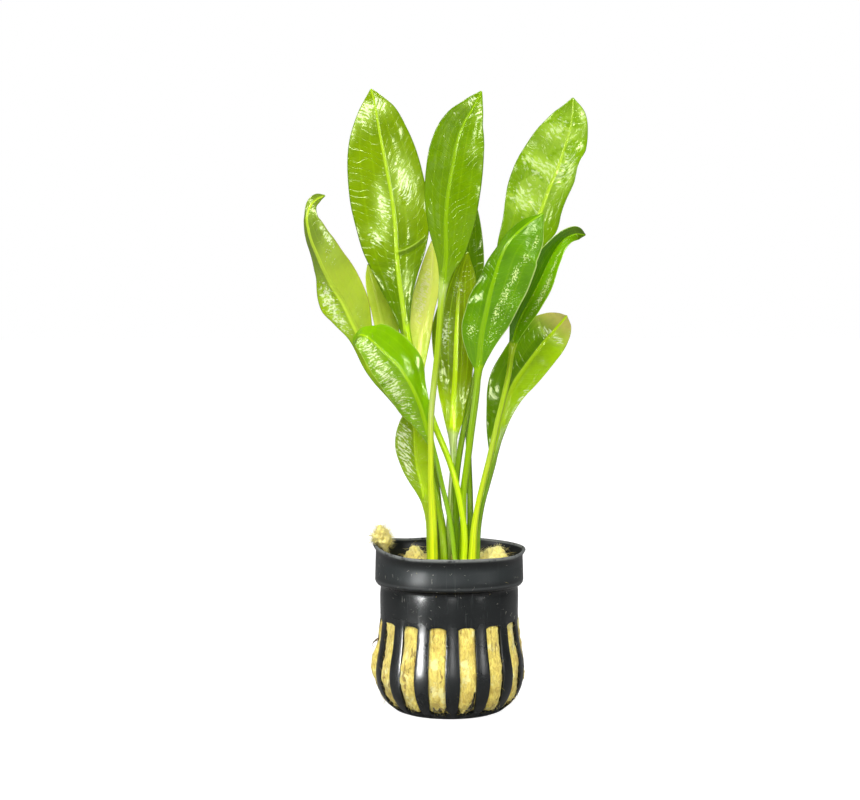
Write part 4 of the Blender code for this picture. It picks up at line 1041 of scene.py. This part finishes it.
pale_stalk = ((0.22, 0.38, 0.001), (0.42, 0.58, 0.05))
grow_leaf(
    "pale_leaf_left", "leaf_left_back",
    leaf_finish("pale left leaf", (0.64, 0.82, 0.05), (0.64, 0.82, 0.05), (0.72, 0.88, 0.10),
                pale_stalk, shade=0.15, gloss=0.3, cloud=0.0),
    stalk=((-4.3, 1.5, STALK_FOOT), (-5, 3.5, 62), (-7, 5.2, 75), (-10.3, 7, 88),
           (-14.3, 9.4, 101)),
    radius=(1.1, 0.9),
    blade=((-17.3, 11.5, 110, 1.8, 2), (-19.6, 13.4, 118, 2.6, 4), (-21.8, 15.2, 125, 2.8, 5),
           (-23.4, 17, 131.5, 2.7, 4.6), (-25, 18.6, 137.6, 2.6, 3.6),
           (-26.4, 20, 142.4, 1.6, 1.9), (-27.1, 21, 146.2, 0.3, 0.3)),
    left_fold=5, right_fold=5, quilt=(0.06, 0.06), wet=((0.93, 0, 0.06, 0.8, 0.8),), seed=10)
grow_leaf(
    "pale_leaf_middle", "leaf_centre_pale",
    # Its near-white green is partly the leaf's own pale colour, partly painted light to offset the
    # shadow of the tall leaves in front.
    leaf_finish("pale middle leaf", (0.92, 1.0, 0.15), (0.90, 1.0, 0.13), (0.95, 1.0, 0.22),
                pale_stalk, foot=(0.52, 0.70, 0.03), shade=0.1, gloss=0.2, dots=0.5, cloud=0.0,
                glint_paint=1.0, glint_tint=(1.0, 1.0, 0.42)),
    stalk=((-2.7, 4.5, STALK_FOOT), (-3, 5.5, 62), (-4.3, 6.5, 75), (-6.3, 7.5, 88),
           (-8.3, 8.8, 101.5)),
    radius=(1.1, 0.9),
    blade=((-9.6, 9.6, 109, 1.4, 1.2), (-9.8, 10.4, 116, 3.2, 2.6), (-9.3, 11.4, 123, 4.3, 3.4),
           (-7.6, 12.6, 131, 5.5, 2.9), (-6, 14, 139.6, 4.9, 3.2), (-5.4, 15.2, 147.2, 3.2, 2.2),
           (-5.5, 15.8, 151.3, 1.6, 1.2), (-5.6, 16.2, 153.9, 0.3, 0.3)),
    left_fold=5, right_fold=5, quilt=(0.14, 0.10), ladder=1.8,
    wet=((0.6, -0.35, 0.3, 0.45, 1.3),), seed=11)
grow_leaf(
    "olive_leaf_middle", "leaf_centre_back",
    leaf_finish("olive middle leaf", (0.15, 0.25, 0.001), (0.21, 0.31, 0.002), (0.72, 1.0, 0.01),
                ((0.24, 0.38, 0.002), (0.62, 0.80, 0.16)), foot=(0.42, 0.62, 0.004), veins=0.6,
                dots=0.6,
                rib_end=0.1),
    stalk=((-0.7, 2, STALK_FOOT), (0.3, 3.4, 62), (0.9, 5, 72), (1.6, 6.8, 81.5)),
    radius=(1.2, 1.2),
    blade=((1.3, 8.2, 88, 1.4, 1.4), (1.3, 9.8, 95, 3, 3.6), (1.6, 11.2, 102, 4.9, 5),
           (2, 12.6, 109, 6.3, 5.8), (2.3, 14.6, 118, 7.8, 6.2), (2.6, 16.2, 125.5, 8.1, 6.7),
           (3.1, 18.4, 134.5, 5.9, 6.7), (3.7, 19.8, 140.6, 3.9, 5.7),
           (4.7, 21, 145.6, 2.2, 3.9), (6.4, 22, 150.4, 0.3, 0.3)),
    left_fold=3, right_fold=3, quilt=(0.12, 0.10), ladder=2.4,
    wet=((0.55, -0.45, 0.15, 0.3, 1.0), (0.80, -0.1, 0.05, 0.4, 1.0)),
    moist=((-10, 14, 1.5),), seed=12)
grow_leaf(
    "dark_leaf_back", "leaf_back_upright",
    leaf_finish("dark back leaf", (0.08, 0.18, 0.001), (0.08, 0.18, 0.001), (0.13, 0.25, 0.003),
                green_stalk, foot=(0.035, 0.12, 0.001)),
    stalk=((6.8, 1.5, STALK_FOOT), (6.9, 5, 68.5), (6.6, 8, 80), (6.3, 11.8, 92), (5.8, 16, 104.5),
           (5.2, 20, 117)),
    radius=(1.1, 0.9),
    blade=((5, 22.4, 126, 3, 3), (4.9, 24.2, 133, 4.7, 5.3), (4.9, 26.6, 144.2, 6.1, 7.1),
           (4.9, 29, 156.3, 5.9, 6.6), (4.9, 31, 166.5, 4.3, 4.7), (4.7, 32, 171.8, 2.4, 2.6),
           (4.6, 32.8, 175.4, 0.3, 0.3)),
    left_fold=5, right_fold=5, seed=13)


# Studio ------------------------------------------------------------------------------------
# A plain white floor under soft lights, three small ones for the gleams on the pot's ribs,
# and a camera in front at the photograph's viewing angle.

white, tree, shader = new_material("studio floor", Roughness=0.9)
shader.inputs["Base Color"].default_value = (0.28, 0.28, 0.28, 1)
shader.inputs["Emission Color"].default_value = (1, 1, 1, 1)
seen = add_node(tree, "ShaderNodeLightPath").outputs["Is Camera Ray"]
tree.links.new(maths(tree, "MULTIPLY", seen, 0.95), shader.inputs["Emission Strength"])
bm = bmesh.new()
bmesh.ops.create_circle(bm, cap_ends=True, segments=96, radius=6)
bmesh.ops.translate(bm, verts=bm.verts, vec=(0, 0, -0.2 * MM))
floor_mesh = bpy.data.meshes.new("studio_floor")
bm.to_mesh(floor_mesh)
bm.free()
floor_mesh.materials.append(white)
floor = bpy.data.objects.new("studio_floor", floor_mesh)
bpy.context.scene.collection.objects.link(floor)


def soft_light(name, kind, azimuth, elevation, power, size, glossy=True, aim=(0, 0, 0.11),
               distance=0.9, diffuse=True, spread=180):
    """A light aimed at the plant; azimuth 0 is in front and grows to the right."""
    lamp = bpy.data.lights.new(name, kind)
    lamp.energy = power
    if kind == "AREA":
        lamp.shape = "RECTANGLE"
        lamp.size, lamp.size_y = size
        lamp.spread = math.radians(spread)
    else:
        lamp.angle = math.radians(size)
    turn, rise = math.radians(azimuth), math.radians(elevation)
    away = Vector((math.sin(turn) * math.cos(rise), -math.cos(turn) * math.cos(rise),
                   math.sin(rise)))
    made = bpy.data.objects.new(name, lamp)
    made.location = Vector(aim) + away * distance
    made.rotation_euler = away.to_track_quat("Z", "Y").to_euler()
    made.visible_glossy, made.visible_diffuse = glossy, diffuse
    made.visible_camera = False
    bpy.context.scene.collection.objects.link(made)


# narrow beams that only gleam on the ribs of the pot
RIB_BEAM = dict(aim=(0, 0, 0.014), distance=0.27, diffuse=False, spread=15)
soft_light("overhead sky", "SUN", -8, 50, 0.8, 30, glossy=False)
soft_light("front fill", "SUN", 10, 8, 0.8, 40, glossy=False)
soft_light("back sky", "SUN", 168, 35, 0.8, 60, glossy=False)
soft_light("key", "AREA", -4, 56, 5.0, (0.32, 0.24))
soft_light("left strip", "AREA", -44, 21, 2.6, (0.16, 0.26))
soft_light("rib left", "AREA", -49, 9, 0.05, (0.10, 0.05), **RIB_BEAM)
soft_light("rib front", "AREA", 5, 10, 0.0026, (0.08, 0.05), **RIB_BEAM)
soft_light("rib right", "AREA", 53, 9, 0.0024, (0.08, 0.05), **RIB_BEAM)
soft_light("low front", "AREA", 0, 15, 0.9, (0.14, 0.12))
soft_light("right strip", "AREA", 62, 15, 2.0, (0.1, 0.28))
soft_light("right cloud", "AREA", 32, 8, 0.2, (0.22, 0.3))
soft_light("far left", "AREA", -92, 33, 1.6, (0.15, 0.3))
soft_light("back light", "AREA", 170, 40, 1.6, (0.5, 0.4), glossy=False)

world = bpy.data.worlds.new("studio")
bpy.context.scene.world = world
world.use_nodes = True
tree = world.node_tree
shader = tree.nodes["Background"]
seen = add_node(tree, "ShaderNodeLightPath").outputs["Is Camera Ray"]
shader.inputs["Color"].default_value = (1, 1, 1, 1)
tree.links.new(mapped(tree, seen, 0, 1, 0.035, 1.0, smooth=False), shader.inputs["Strength"])

bpy.context.scene.view_settings.view_transform = "Standard"
lens = bpy.data.cameras.new("camera")
lens.sensor_width = 36
lens.lens = 79.24
lens.clip_start = 0.01
camera = bpy.data.objects.new("camera", lens)
camera.location = (-0.0063, -0.617, 0.134)
camera.rotation_euler = (math.radians(87), 0, 0)
bpy.context.scene.collection.objects.link(camera)
bpy.context.scene.camera = camera
